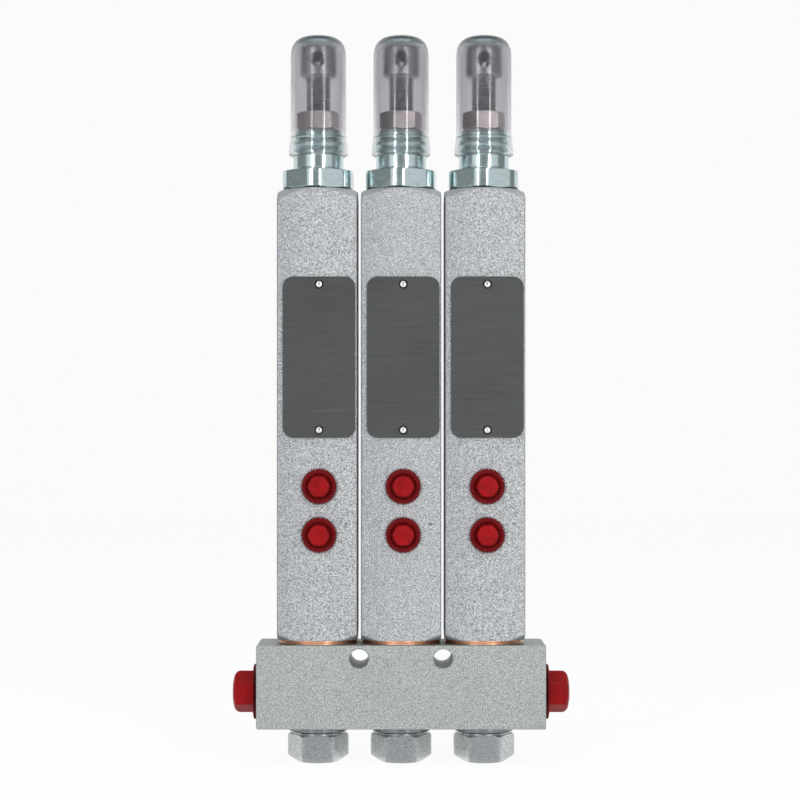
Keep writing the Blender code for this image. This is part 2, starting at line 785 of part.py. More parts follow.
def make_adjusting_screw(number, axis, finishes):
    """The hollow adjusting screw, whose head has a sight hole for the stem."""
    edge = SCREW_HEAD_EDGE
    sight_depth = SCREW_HEAD / 2 + STEM_HOLE / 2 + SIGHT_PAST
    screw = turned(
        f"adjusting_screw_{number}",
        [
            (0, SCREW_TOP),
            (SCREW_HEAD / 2 - edge, SCREW_TOP),
            (SCREW_HEAD / 2, SCREW_TOP - edge),
            (SCREW_HEAD / 2, SCREW_HEAD_FOOT + edge),
            (SCREW_HEAD / 2 - edge, SCREW_HEAD_FOOT),
            (SCREW_STEM / 2, SCREW_HEAD_FOOT),
            (SCREW_STEM / 2, SCREW_HEAD_FOOT - SCREW_STEM_LENGTH),
            (STEM_HOLE / 2, SCREW_HEAD_FOOT - SCREW_STEM_LENGTH),
            (STEM_HOLE / 2, SCREW_BORE_END),
            (0, SCREW_BORE_END),
        ],
        ROUND_STEPS,
    )
    keep(screw, finishes["screw steel"], axis)
    sight = turned(
        f"sight_hole_cutter_{number}",
        drill_profile(SIGHT_HOLE, -sight_depth, CUT_OVERRUN),
        INNER_STEPS,
    )
    keep_cutter(sight, axis, (0, -SCREW_HEAD / 2, SCREW_TOP - SIGHT_DROP), FACING_FRONT)
    combine(screw, sight, "DIFFERENCE")


def make_piston(number, axis, finishes):
    """The measuring piston, with its long indicator stem and its packing ring."""
    stem = INDICATOR_STEM / 2
    tip = SCREW_BORE_END - SEAT_GAP
    radius = PISTON / 2
    groove_root = radius - PACKING_WIDTH - SEAT_GAP
    groove_foot = PISTON_FOOT + PACKING_RISE
    groove_top = groove_foot + PACKING_HEIGHT + 2 * SEAT_GAP
    spigot = (SPRING_MEAN - SPRING_WIRE) / 2 - SPIGOT_ROOM
    piston = turned(
        f"piston_{number}",
        [
            (0, tip),
            (stem * math.sin(math.pi / 4), tip - INDICATOR_TIP * TIP_SHARE),
            (stem, tip - INDICATOR_TIP),
            (stem, PISTON_TOP),
            (radius - PISTON_CHAMFER, PISTON_TOP),
            (radius, PISTON_TOP - PISTON_CHAMFER),
            (radius, groove_top),
            (groove_root, groove_top),
            (groove_root, groove_foot),
            (radius, groove_foot),
            (radius, PISTON_FOOT),
            (spigot, PISTON_FOOT),
            (spigot, PISTON_FOOT - SPIGOT_LENGTH),
            (0, PISTON_FOOT - SPIGOT_LENGTH),
        ],
        INNER_STEPS,
    )
    keep(piston, finishes["bare steel"], axis, turn=INNER_TURN)
    packing = ring_solid(
        f"piston_packing_{number}",
        2 * (groove_root + SEAT_GAP),
        PISTON,
        groove_foot + SEAT_GAP,
        groove_top - SEAT_GAP,
        INNER_STEPS,
    )
    keep(packing, finishes["packing"], axis, turn=INNER_TURN)


def make_spring(number, axis, finishes):
    """The coil spring under the piston and the seat that it stands on."""
    foot = SEAT_TOP + SPRING_WIRE / 2 + SEAT_GAP
    top = PISTON_FOOT - SPRING_WIRE / 2 - SEAT_GAP
    count = SPRING_TURNS * SPRING_POINTS_A_TURN + 1
    curve = bpy.data.curves.new(f"spring_wire_{number}", "CURVE")
    curve.dimensions = "3D"
    curve.bevel_depth = SPRING_WIRE / 2
    curve.bevel_resolution = 1
    curve.use_fill_caps = True
    spline = curve.splines.new("POLY")
    spline.points.add(count - 1)
    for i, point in enumerate(spline.points):
        angle = 2 * math.pi * i / SPRING_POINTS_A_TURN
        x = SPRING_MEAN / 2 * math.cos(angle)
        y = SPRING_MEAN / 2 * math.sin(angle)
        point.co = (x, y, foot + (top - foot) * i / (count - 1), 1)
    wire = bpy.data.objects.new(f"spring_wire_{number}", curve)
    keep(as_mesh_object(f"spring_{number}", wire), finishes["bare steel"], axis)
    seat = ring_solid(
        f"spring_seat_{number}",
        SEAT_BORE,
        PISTON,
        PISTON_FLOOR + SEAT_GAP,
        SEAT_TOP,
        INNER_STEPS,
    )
    keep(seat, finishes["bare steel"], axis, turn=INNER_TURN)


def make_slide_valve(number, axis, finishes):
    """The slide valve, a spool with a land at each end and one in the middle."""
    land = VALVE_LAND / 2
    waist = land - VALVE_WAIST_DEPTH
    middle = (VALVE_TOP + VALVE_FOOT) / 2
    half_land = VALVE_LAND_LENGTH / 2
    valve = turned(
        f"slide_valve_{number}",
        [
            (0, VALVE_TOP),
            (land, VALVE_TOP),
            (land, VALVE_TOP - VALVE_LAND_LENGTH),
            (waist, VALVE_TOP - VALVE_LAND_LENGTH),
            (waist, middle + half_land),
            (land, middle + half_land),
            (land, middle - half_land),
            (waist, middle - half_land),
            (waist, VALVE_FOOT + VALVE_LAND_LENGTH),
            (land, VALVE_FOOT + VALVE_LAND_LENGTH),
            (land, VALVE_FOOT),
            (0, VALVE_FOOT),
        ],
        SMALL_STEPS,
    )
    keep(valve, finishes["bare steel"], axis)


def make_name_plate(number, axis, finishes):
    """The bare name plate and the two drive pins that hold it."""
    middle = PLATE_FOOT + PLATE_HEIGHT / 2
    hole = PIN_SHANK / 2 + SEAT_GAP
    loops = [
        rounded_rectangle(PLATE_WIDTH, PLATE_HEIGHT, PLATE_CORNER, PLATE_CORNER_STEPS)
    ]
    loops += [
        circle_points(hole, SMALL_STEPS, (0, height - middle))
        for height in pin_heights()
    ]
    plate_foot = SEAT_GAP
    plate_top = plate_foot + PLATE_THICK
    plate = extruded(f"name_plate_{number}", loops, plate_foot, plate_top)
    keep(plate, finishes["plate"], axis, (FRONT_OFFSET, BODY_FRONT, middle), FACING_FRONT)

    head_foot = plate_top + SEAT_GAP
    for place, height in zip(("lower", "upper"), pin_heights()):
        pin = turned(
            f"plate_pin_{place}_{number}",
            [
                (0, head_foot + PIN_HEAD_HEIGHT),
                (PIN_HEAD / 4, head_foot + PIN_HEAD_HEIGHT * PIN_CROWN_SHARE),
                (PIN_HEAD / 2, head_foot + PIN_HEAD_HEIGHT * PIN_BROW_SHARE),
                (PIN_HEAD / 2, head_foot),
                (PIN_SHANK / 2, head_foot),
                (PIN_SHANK / 2, SEAT_GAP - PIN_DEPTH),
                (0, SEAT_GAP - PIN_DEPTH),
            ],
            SMALL_STEPS,
        )
        keep(pin, finishes["pin"], axis, (FRONT_OFFSET, BODY_FRONT, height), FACING_FRONT)


def make_bar_seals(number, axis, finishes):
    """The copper gasket on top of the bar and the washer under it."""
    gasket = ring_solid(
        f"manifold_gasket_{number}",
        BOLT_HOLE,
        GASKET_OUTER,
        BAR_TOP + SEAT_GAP,
        BAR_TOP + SEAT_GAP + GASKET_THICK,
        ROUND_STEPS,
    )
    keep(gasket, finishes["copper"], axis)
    washer = ring_solid(
        f"bolt_washer_{number}",
        BOLT_HOLE,
        WASHER_OUTER,
        BAR_FOOT - SEAT_GAP - WASHER_THICK,
        BAR_FOOT - SEAT_GAP,
        ROUND_STEPS,
    )
    keep(washer, finishes["dark washer"], axis)


def make_adaptor_bolt(number, axis, finishes):
    """The hollow adaptor bolt, waisted and cross-drilled where the gallery passes."""
    shank = BOLT_SHANK / 2
    waist = BOLT_WAIST / 2
    half = GALLERY_BORE / 2 + BOLT_WAIST_MARGIN
    head_top = BOLT_SEAT - BOLT_FACE_HEIGHT
    foot = head_top - BOLT_HEAD
    head_round = BOLT_ROUND / 2
    rise = (head_round - BOLT_END / 2) * math.tan(BOLT_END_ANGLE)
    drill_end = GALLERY_Z - half
    bolt = turned(
        f"adaptor_bolt_{number}",
        [
            (0, drill_end),
            (BOLT_DRILL / 2, drill_end),
            (BOLT_DRILL / 2, BOLT_TIP),
            (shank - BOLT_TIP_CHAMFER, BOLT_TIP),
            (shank, BOLT_TIP - BOLT_TIP_CHAMFER),
            (shank, GALLERY_Z + half + BOLT_WAIST_SLOPE),
            (waist, GALLERY_Z + half),
            (waist, GALLERY_Z - half),
            (shank, GALLERY_Z - half - BOLT_WAIST_SLOPE),
            (shank, BOLT_SEAT),
            (BOLT_FACE / 2, BOLT_SEAT),
            (BOLT_FACE / 2, head_top),
            (head_round - BOLT_TOP_EDGE, head_top),
            (head_round, head_top - BOLT_TOP_EDGE),
            (head_round, foot + rise),
            (BOLT_END / 2, foot),
            (0, foot),
        ],
        ROUND_STEPS,
    )
    keep(bolt, finishes["bolt zinc"], axis)
    flats = hexagon_cutter(
        f"bolt_flats_{number}",
        BOLT_FLATS,
        foot - CUT_OVERRUN,
        head_top,
        0.0,
    )
    keep_cutter(flats, axis)
    combine(bolt, flats, "DIFFERENCE")
    reach = waist + CUT_OVERRUN
    cross = turned(
        f"bolt_cross_cutter_{number}",
        drill_profile(BOLT_CROSS_DRILL, -reach, reach),
        SMALL_STEPS,
    )
    keep_cutter(cross, axis, (0, 0, GALLERY_Z), (0, math.pi / 2, 0))
    combine(bolt, cross, "DIFFERENCE")


def dome_points(radius, foot, rise, steps):
    """Points down a rounded crown, from its top on the axis to its foot."""
    points = [(0, foot + rise)]
    for i in range(1, steps + 1):
        angle = math.pi / 2 * (1 - i / steps)
        across = math.cos(angle) ** CAP_DOME_POWER_SHARE
        up = max(math.sin(angle), 0.0) ** CAP_DOME_POWER_SHARE
        points.append((radius * across, foot + rise * up))
    return points


def make_clear_cap(number, axis, finishes):
    """The clear cap, pushed over the barbs: a domed tube with a flared rim."""
    outer = CAP_TUBE / 2
    inner = CAP_BORE / 2
    rim = CAP_RIM / 2
    foot = COLLAR_TOP
    dome_foot = CAP_TOP - CAP_DOME
    shoulder = NECK_TOP - BARB_LENGTH + SEAT_GAP
    outside = dome_points(outer, dome_foot, CAP_DOME, CAP_DOME_STEPS)
    rim_points = [
        (outer, foot + CAP_FLARE_HEIGHT),
        (rim, foot + CAP_LIP + CAP_RIM_HEIGHT),
        (rim, foot + CAP_LIP),
        (rim - CAP_LIP, foot),
        (RIM_BORE / 2, foot),
        (RIM_BORE / 2, shoulder),
        (inner, shoulder),
    ]
    inside = dome_points(inner, dome_foot, CAP_DOME - CAP_ROOF, CAP_ROOF_STEPS)
    cap = turned(
        f"clear_cap_{number}",
        outside + rim_points + inside[::-1],
        ROUND_STEPS,
    )
    keep(cap, finishes["clear plastic"], axis)


def make_plug(name, sizes, finishes, parent, where, turn):
    """A red plastic plug: toothed flange, hexagonal head and hollow tapered shank.

    Its own +Z points out of the hole and its flange stands just off the face.
    """
    flange_foot = SEAT_GAP
    flange_top = flange_foot + sizes["flange thick"]
    flange_middle = (flange_foot + flange_top) / 2
    head_foot = flange_top + sizes["pad"]
    head_top = head_foot + sizes["head"]
    root = sizes["shank"] / 2
    tip = root - sizes["taper"]
    hollow = tip - sizes["wall"]
    half_flats = root - sizes["set in"]
    radius = half_flats + sizes["corner"]
    edge = sizes["head edge"]
    plug = turned(
        name,
        [
            (0, head_top + sizes["dome"]),
            (radius - edge, head_top),
            (radius - edge * EDGE_SHARE, head_top - edge * EDGE_SHARE),
            (radius, head_top - edge),
            (radius, flange_middle),
            (root, flange_middle),
            (root, flange_foot),
            (tip, -sizes["length"]),
            (hollow, -sizes["length"]),
            (hollow, flange_foot),
            (0, flange_foot),
        ],
        INNER_STEPS,
    )
    keep(plug, finishes["red plastic"], parent, where, turn)
    flats = hexagon_cutter(
        f"{name}_flats",
        2 * half_flats,
        head_foot,
        head_top + sizes["dome"] + CUT_OVERRUN,
        0.0,
    )
    keep_cutter(flats, parent, where, turn)
    combine(plug, flats, "DIFFERENCE")
    teeth = toothed_circle(sizes["flange"] / 2, sizes["tooth"], sizes["teeth"])
    flange = extruded(f"{name}_flange", [teeth], flange_foot, flange_top)
    keep_cutter(flange, parent, where, turn)
    combine(plug, flange, "UNION")


OUTLET_PLUG = {
    "shank": OUTLET_SHANK,
    "length": OUTLET_SHANK_LENGTH,
    "taper": OUTLET_TAPER,
    "wall": OUTLET_WALL,
    "flange": OUTLET_FLANGE,
    "flange thick": OUTLET_FLANGE_THICK,
    "teeth": OUTLET_TEETH,
    "tooth": OUTLET_TOOTH,
    "set in": OUTLET_HEAD_SET_IN,
    "corner": OUTLET_CORNER,
    "head": OUTLET_HEAD,
    "head edge": OUTLET_HEAD_EDGE,
    "dome": OUTLET_DOME,
    "pad": OUTLET_PAD,
}

INLET_PLUG = {
    "shank": INLET_SHANK,
    "length": INLET_SHANK_LENGTH,
    "taper": INLET_TAPER,
    "wall": INLET_WALL,
    "flange": INLET_FLANGE,
    "flange thick": INLET_FLANGE_THICK,
    "teeth": INLET_TEETH,
    "tooth": INLET_TOOTH,
    "set in": INLET_HEAD_SET_IN,
    "corner": INLET_CORNER,
    "head": INLET_HEAD,
    "head edge": INLET_HEAD_EDGE,
    "dome": INLET_DOME,
    "pad": INLET_PAD,
}


def make_injector(number, x, finishes):
    """One injector with its bolt, gasket, washer, plugs and clear cap."""
    axis = axis_empty(f"injector_axis_{number}", (x, -BAR_DEPTH / 2, 0))
    make_injector_body(number, axis, finishes)
    make_stop_plug(number, axis, finishes)
    make_lock_nut(number, axis, finishes)
    make_adjusting_screw(number, axis, finishes)
    make_piston(number, axis, finishes)
    make_spring(number, axis, finishes)
    make_slide_valve(number, axis, finishes)
    make_name_plate(number, axis, finishes)
    make_bar_seals(number, axis, finishes)
    make_adaptor_bolt(number, axis, finishes)
    make_clear_cap(number, axis, finishes)
    for place, height in (("lower", LOWER_OUTLET), ("upper", UPPER_OUTLET)):
        make_plug(
            f"outlet_plug_{place}_{number}",
            OUTLET_PLUG,
            finishes,
            axis,
            (FRONT_OFFSET, BODY_FRONT, height),
            FACING_FRONT,
        )


def build():
    """Make the whole object."""
    clear_scene()
    finishes = make_finishes()
    make_manifold(finishes)
    for number, x in enumerate(injector_places(), 1):
        make_injector(number, x, finishes)
    for place, side in (("left", -1), ("right", 1)):
        make_plug(
            f"inlet_plug_{place}",
            INLET_PLUG,
            finishes,
            None,
            (side * BAR_LENGTH / 2, -BAR_DEPTH / 2, GALLERY_Z),
            (0, side * math.pi / 2, 0),
        )


build()
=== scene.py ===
"""Looks of the grease injector manifold.

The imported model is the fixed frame. Each class below builds the finished meshes of
one sub-assembly in millimetres about its own axis, dresses them in a procedural
finish and fits them to the frame. Lights, floor and camera stand at the end.
"""

import logging
import math
from collections.abc import Callable, Mapping, Sequence
from dataclasses import dataclass
from enum import Enum

import bmesh
import bpy
from mathutils import Euler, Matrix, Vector

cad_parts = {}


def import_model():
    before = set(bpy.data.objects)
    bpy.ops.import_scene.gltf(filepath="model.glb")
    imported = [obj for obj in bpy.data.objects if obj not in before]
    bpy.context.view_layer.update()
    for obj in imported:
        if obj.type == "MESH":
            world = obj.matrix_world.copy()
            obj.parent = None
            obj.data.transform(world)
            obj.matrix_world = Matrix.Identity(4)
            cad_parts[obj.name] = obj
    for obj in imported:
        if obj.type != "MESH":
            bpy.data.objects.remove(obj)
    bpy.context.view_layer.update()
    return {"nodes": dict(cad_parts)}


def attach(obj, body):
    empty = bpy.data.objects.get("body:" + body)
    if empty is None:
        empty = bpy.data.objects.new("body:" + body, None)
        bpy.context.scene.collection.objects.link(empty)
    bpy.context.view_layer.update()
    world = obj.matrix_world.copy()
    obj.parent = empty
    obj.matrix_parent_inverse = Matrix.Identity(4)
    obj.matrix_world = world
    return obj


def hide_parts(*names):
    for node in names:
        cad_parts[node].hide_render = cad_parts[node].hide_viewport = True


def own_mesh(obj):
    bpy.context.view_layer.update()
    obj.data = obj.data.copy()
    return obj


LOG = logging.getLogger("grease_injector_manifold")

MM = 0.001
FULL_TURN = 2 * math.pi
WELD_GAP = 0.0005

Colour = tuple[float, float, float]
Point = tuple[float, float]
Corner = tuple[float, ...]
Shaper = Callable[[float, float, float], float]

WHITE: Colour = (1.0, 1.0, 1.0)


# ---- Where things stand -------------------------------------------------------------


class Facing(Enum):
    """The way a turned piece's own +Z points in the row frame."""

    UP = (0.0, 0.0, 0.0)
    FRONT = (math.pi / 2, 0.0, 0.0)
    LEFT = (0.0, -math.pi / 2, 0.0)
    RIGHT = (0.0, math.pi / 2, 0.0)


@dataclass(frozen=True)
class Station:
    """A place in the row frame, in millimetres, and the way a piece faces there."""

    x: float
    y: float
    z: float
    facing: Facing = Facing.UP

    def hold(self, piece: bpy.types.Object) -> None:
        """Move a piece to this station."""
        piece.location = Vector((self.x, self.y, self.z)) * MM
        piece.rotation_euler = Euler(self.facing.value)


@dataclass(frozen=True)
class Layout:
    """The set-out of the bar and the injectors, in millimetres."""

    pitch: float = 31.75
    bar_side: float = 31.75
    bar_length: float = 109.5
    body_width: float = 30.4
    front_offset: float = 0.8
    lower_outlet: float = 57.575
    upper_outlet: float = 75.875
    gallery: float = -3.075
    mount_hole_height: float = 10.875
    floor: float = -29.675

    @property
    def axis_y(self) -> float:
        """Depth of the injectors' axes."""
        return -self.bar_side / 2

    @property
    def body_front(self) -> float:
        """Depth of the bodies' front faces."""
        return self.axis_y - self.body_width / 2

    def axis(self, number: int) -> Station:
        """The axis of one injector, counted from 1 at the left."""
        return Station((number - 2) * self.pitch, self.axis_y, 0.0)

    def on_front(self, number: int, height: float, aside: float = 0.0) -> Station:
        """A place on a body's front face, facing out of it."""
        x = (number - 2) * self.pitch + self.front_offset + aside
        return Station(x, self.body_front, height, Facing.FRONT)


LAYOUT = Layout()


# ---- Turned and trimmed meshes ------------------------------------------------------


@dataclass(frozen=True)
class Prism:
    """A regular prism that trims a turned piece to flats."""

    across: float
    sides: int
    rounding: float
    corner_at: float

    @property
    def half(self) -> float:
        """Half the angle of one side."""
        return math.pi / self.sides

    @property
    def corner_angle(self) -> float:
        """Angle from a corner to where its rounding meets the flat.

        Returns:
            The angle in radians.
        """
        apothem = self.across / 2
        flat_end = (apothem - self.rounding) * math.tan(self.half)
        return self.half - math.atan2(flat_end, apothem)

    def reach(self, angle: float) -> float:
        """Distance from the axis to the prism's surface.

        Args:
            angle: Direction from the axis, in radians.

        Returns:
            The distance in millimetres.
        """
        offset = (angle - self.corner_at) % (2 * self.half)
        beside = min(offset, 2 * self.half - offset)
        apothem = self.across / 2
        if beside >= self.corner_angle:
            return apothem / math.cos(self.half - beside)
        centre = (apothem - self.rounding) / math.cos(self.half)
        rise = self.rounding**2 - (centre * math.sin(beside)) ** 2
        return centre * math.cos(beside) + math.sqrt(max(rise, 0.0))

    def trimmer(self, clear: float, ease: float) -> Shaper:
        """A shaper that trims rows to this prism.

        Args:
            clear: Rows up to this radius stay round.
            ease: Softness of the edge between a round row and a flat.

        Returns:
            The shaper.
        """

        def trim(angle: float, radius: float, _height: float) -> float:
            """The trimmed radius of one point.

            Args:
                angle: Direction from the axis, in radians.
                radius: The row's own radius.
                _height: The row's height, which makes no difference.

            Returns:
                The radius to use.
            """
            if radius <= clear:
                return radius
            return eased_min(radius, self.reach(angle), ease)

        return trim

    def angles(self, flat_steps: int, corner_steps: int) -> list[float]:
        """Directions round the prism, closer together at its corners.

        Args:
            flat_steps: Steps along each flat.
            corner_steps: Steps on each side of a corner.

        Returns:
            The angles in rising order.
        """
        found: list[float] = []
        arc = self.corner_angle
        for side in range(self.sides):
            corner = self.corner_at + 2 * self.half * side
            for i in range(-corner_steps, corner_steps + 1):
                found.append(corner + arc * i / corner_steps)
            flat = 2 * (self.half - arc)
            for i in range(1, flat_steps):
                found.append(corner + arc + flat * i / flat_steps)
        return found


def even_angles(steps: int) -> list[float]:
    """Evenly spaced directions round an axis."""
    return [FULL_TURN * i / steps for i in range(steps)]


def eased_min(first: float, second: float, blend: float) -> float:
    """The smaller of two reaches, with a soft edge where they meet."""
    overlap = max(blend - abs(first - second), 0.0) / blend
    return min(first, second) - overlap * overlap * blend / 4


def rounded(corners: Sequence[Corner], steps: int = 3) -> list[Point]:
    """A profile with its corners eased.

    Args:
        corners: (radius, height) or (radius, height, ease) down the outer side.
        steps: Facets in each eased corner.

    Returns:
        The profile's points.
    """
    points: list[Point] = []
    for i, corner in enumerate(corners):
        here = Vector(corner[:2])
        ease = corner[2] if len(corner) > 2 else 0.0
        if ease <= 0.0 or i in (0, len(corners) - 1):
            points.append((here.x, here.y))
            continue
        before = Vector(corners[i - 1][:2]) - here
        after = Vector(corners[i + 1][:2]) - here
        start = here + before * min(ease / before.length, 0.45)
        end = here + after * min(ease / after.length, 0.45)
        for step in range(steps + 1):
            t = step / steps
            at = start * (1 - t) ** 2 + here * (2 * t * (1 - t)) + end * t**2
            points.append((at.x, at.y))
    return points


def rows_between(top: Point, foot: Point, count: int) -> list[Point]:
    """Points spaced evenly from one profile point towards another, without the last.

    Args:
        top: Where the points start.
        foot: Where they lead.
        count: How many there are.

    Returns:
        The points, without foot.
    """
    return [
        (
            top[0] + (foot[0] - top[0]) * i / count,
            top[1] + (foot[1] - top[1]) * i / count,
        )
        for i in range(count)
    ]


def turned(
    name: str,
    points: Sequence[Point],
    angles: Sequence[float],
    shaper: Shaper | None = None,
    ring: bool = False,
) -> bpy.types.Object:
    """Turn a profile about +Z into a closed mesh.

    Args:
        name: Name of the piece.
        points: (radius, height) in millimetres, down the outer side.
        angles: Directions of the mesh's columns.
        shaper: Gives the radius at an angle from (angle, radius, height).
        ring: True if the profile closes on itself instead of on the axis.

    Returns:
        The new object, linked to the scene.
    """
    shape = bmesh.new()
    rows: list[list[bmesh.types.BMVert]] = []
    for radius, height in points:
        if radius < WELD_GAP:
            rows.append([shape.verts.new((0.0, 0.0, height * MM))])
            continue
        row = []
        for angle in angles:
            reach = shaper(angle, radius, height) if shaper else radius
            at = (reach * math.cos(angle), reach * math.sin(angle), height)
            row.append(shape.verts.new(Vector(at) * MM))
        rows.append(row)
    pairs = list(zip(rows, rows[1:]))
    if ring:
        pairs.append((rows[-1], rows[0]))
    for upper, lower in pairs:
        for i in range(len(angles)):
            j = (i + 1) % len(angles)
            loop = [
                upper[i % len(upper)],
                lower[i % len(lower)],
                lower[j % len(lower)],
                upper[j % len(upper)],
            ]
            corners = list(dict.fromkeys(loop))
            if len(corners) > 2:
                shape.faces.new(corners)
    return shown(name, shape)


def shown(name: str, shape: bmesh.types.BMesh) -> bpy.types.Object:
    """Weld a bmesh, make it an object and link it to the scene.

    Args:
        name: Name of the mesh and the object.
        shape: The shape, which is freed.

    Returns:
        The new object.
    """
    bmesh.ops.remove_doubles(shape, verts=shape.verts, dist=WELD_GAP * MM)
    bmesh.ops.dissolve_degenerate(shape, edges=shape.edges, dist=WELD_GAP * MM)
    bmesh.ops.recalc_face_normals(shape, faces=shape.faces)
    mesh = bpy.data.meshes.new(name)
    shape.to_mesh(mesh)
    shape.free()
    piece = bpy.data.objects.new(name, mesh)
    bpy.context.scene.collection.objects.link(piece)
    return piece


def smoothed(piece: bpy.types.Object, sharp: float = 32.0) -> bpy.types.Object:
    """Shade a piece smoothly, with true flats and edges sharp above an angle.

    Args:
        piece: The piece.
        sharp: Edges bent by more than this stay sharp, in degrees.

    Returns:
        The same piece.
    """
    mesh = piece.data
    mesh.polygons.foreach_set("use_smooth", [True] * len(mesh.polygons))
    mesh.set_sharp_from_angle(angle=math.radians(sharp))
    normals = piece.modifiers.new("true flats", "WEIGHTED_NORMAL")
    normals.keep_sharp = True
    normals.weight = 80
    return piece


def carved(
    piece: bpy.types.Object, cutters: Sequence[bpy.types.Object]
) -> bpy.types.Object:
    """Cut a piece by other solids, which are used up.

    Args:
        piece: The piece at the row origin.
        cutters: Solids already in place round it.

    Returns:
        The same piece with its new mesh.
    """
    for cutter in cutters:
        cut = piece.modifiers.new(cutter.name, "BOOLEAN")
        cut.operation = "DIFFERENCE"
        cut.solver = "EXACT"
        cut.object = cutter
    bpy.context.view_layer.update()
    graph = bpy.context.evaluated_depsgraph_get()
    mesh = bpy.data.meshes.new_from_object(piece.evaluated_get(graph))
    piece.modifiers.clear()
    piece.data = mesh
    for cutter in cutters:
        bpy.data.objects.remove(cutter, do_unlink=True)
    return piece


def drill(
    radius: float,
    depth: float,
    station: Station,
    chamfer: float = 0.3,
    steps: int = 64,
    through: float = 0.0,
) -> bpy.types.Object:
    """A cutter for a round hole with a small chamfer at its mouth.

    Args:
        radius: The hole's radius.
        depth: How far it goes in behind the station.
        station: The middle of its mouth, facing out of the hole.
        chamfer: Width of the mouth's chamfer.
        steps: Facets round it.
        through: Length of a through hole, chamfered at both mouths.

    Returns:
        The cutter, in place.
    """
    over = 1.0
    profile = [
        (0.0, over),
        (radius + chamfer + over, over),
        (radius, -chamfer),
    ]
    if through:
        profile += [
            (radius, chamfer - through),
            (radius + chamfer + over, -through - over),
            (0.0, -through - over),
        ]
    else:
        profile += [(radius, -depth), (0.0, -depth)]
    cutter = turned("drill", profile, even_angles(steps))
    station.hold(cutter)
    return cutter


# ---- Shader maths -------------------------------------------------------------------

Operand = "Signal | float"


class Signal:
    """One value of a shader, with the operators of plain arithmetic."""

    def __init__(self, wiring: "Wiring", socket: bpy.types.NodeSocket) -> None:
        """Wrap an output socket of a node tree."""
        self.wiring = wiring
        self.socket = socket

    def _join(self, operation: str, first: Operand, second: Operand) -> "Signal":
        """Add a Math node.

        Args:
            operation: The node's operation.
            first: Its first value.
            second: Its second value.

        Returns:
            The node's value.
        """
        settings = {"operation": operation}
        made = self.wiring.node("ShaderNodeMath", settings, {0: first, 1: second})
        return Signal(self.wiring, made.outputs[0])

    def __add__(self, other: Operand) -> "Signal":
        """self + other"""
        return self._join("ADD", self, other)

    def __radd__(self, other: Operand) -> "Signal":
        """other + self"""
        return self._join("ADD", other, self)

    def __sub__(self, other: Operand) -> "Signal":
        """self - other"""
        return self._join("SUBTRACT", self, other)

    def __rsub__(self, other: Operand) -> "Signal":
        """other - self"""
        return self._join("SUBTRACT", other, self)

    def __mul__(self, other: Operand) -> "Signal":
        """self * other"""
        return self._join("MULTIPLY", self, other)

    def __rmul__(self, other: Operand) -> "Signal":
        """other * self"""
        return self._join("MULTIPLY", other, self)

    def __gt__(self, other: Operand) -> "Signal":
        """1 where self is above other, and 0 elsewhere"""
        return self._join("GREATER_THAN", self, other)

    def step(self, low: float, high: float) -> "Signal":
        """Rise smoothly from 0 at low to 1 at high.

        Args:
            low: The value that gives 0.
            high: The value that gives 1, above or below low.

        Returns:
            The eased value.
        """
        made = self.wiring.node(
            "ShaderNodeMapRange",
            {"interpolation_type": "SMOOTHSTEP"},
            {"Value": self, "From Min": low, "From Max": high},
        )
        return Signal(self.wiring, made.outputs["Result"])


class Wiring:
    """A node tree, with the one method that adds a node of any kind to it."""

    def __init__(self, tree: bpy.types.NodeTree) -> None:
        """Take a tree."""
        self.tree = tree

    def feed(self, socket: bpy.types.NodeSocket, value: object) -> None:
        """Link a signal or socket to a socket, or set its value.

        Args:
            socket: An input socket.
            value: A signal, an output socket or a plain value.
        """
        if isinstance(value, Signal):
            value = value.socket
        if isinstance(value, bpy.types.NodeSocket):
            self.tree.links.new(value, socket)
        elif socket.type == "RGBA" and len(value) == 3:
            socket.default_value = (*value, 1.0)
        else:
            socket.default_value = value

    def node(
        self,
        kind: str,
        settings: Mapping[str, object] | None = None,
        sockets: Mapping[int | str, object] | None = None,
    ) -> bpy.types.Node:
        """Add any node.

        Args:
            kind: The node's type.
            settings: Its properties, which are set first.
            sockets: Values or links by input name or number.

        Returns:
            The new node.
        """
        made = self.tree.nodes.new(kind)
        for key, value in (settings or {}).items():
            setattr(made, key, value)
        for key, value in (sockets or {}).items():
            self.feed(made.inputs[key], value)
        return made


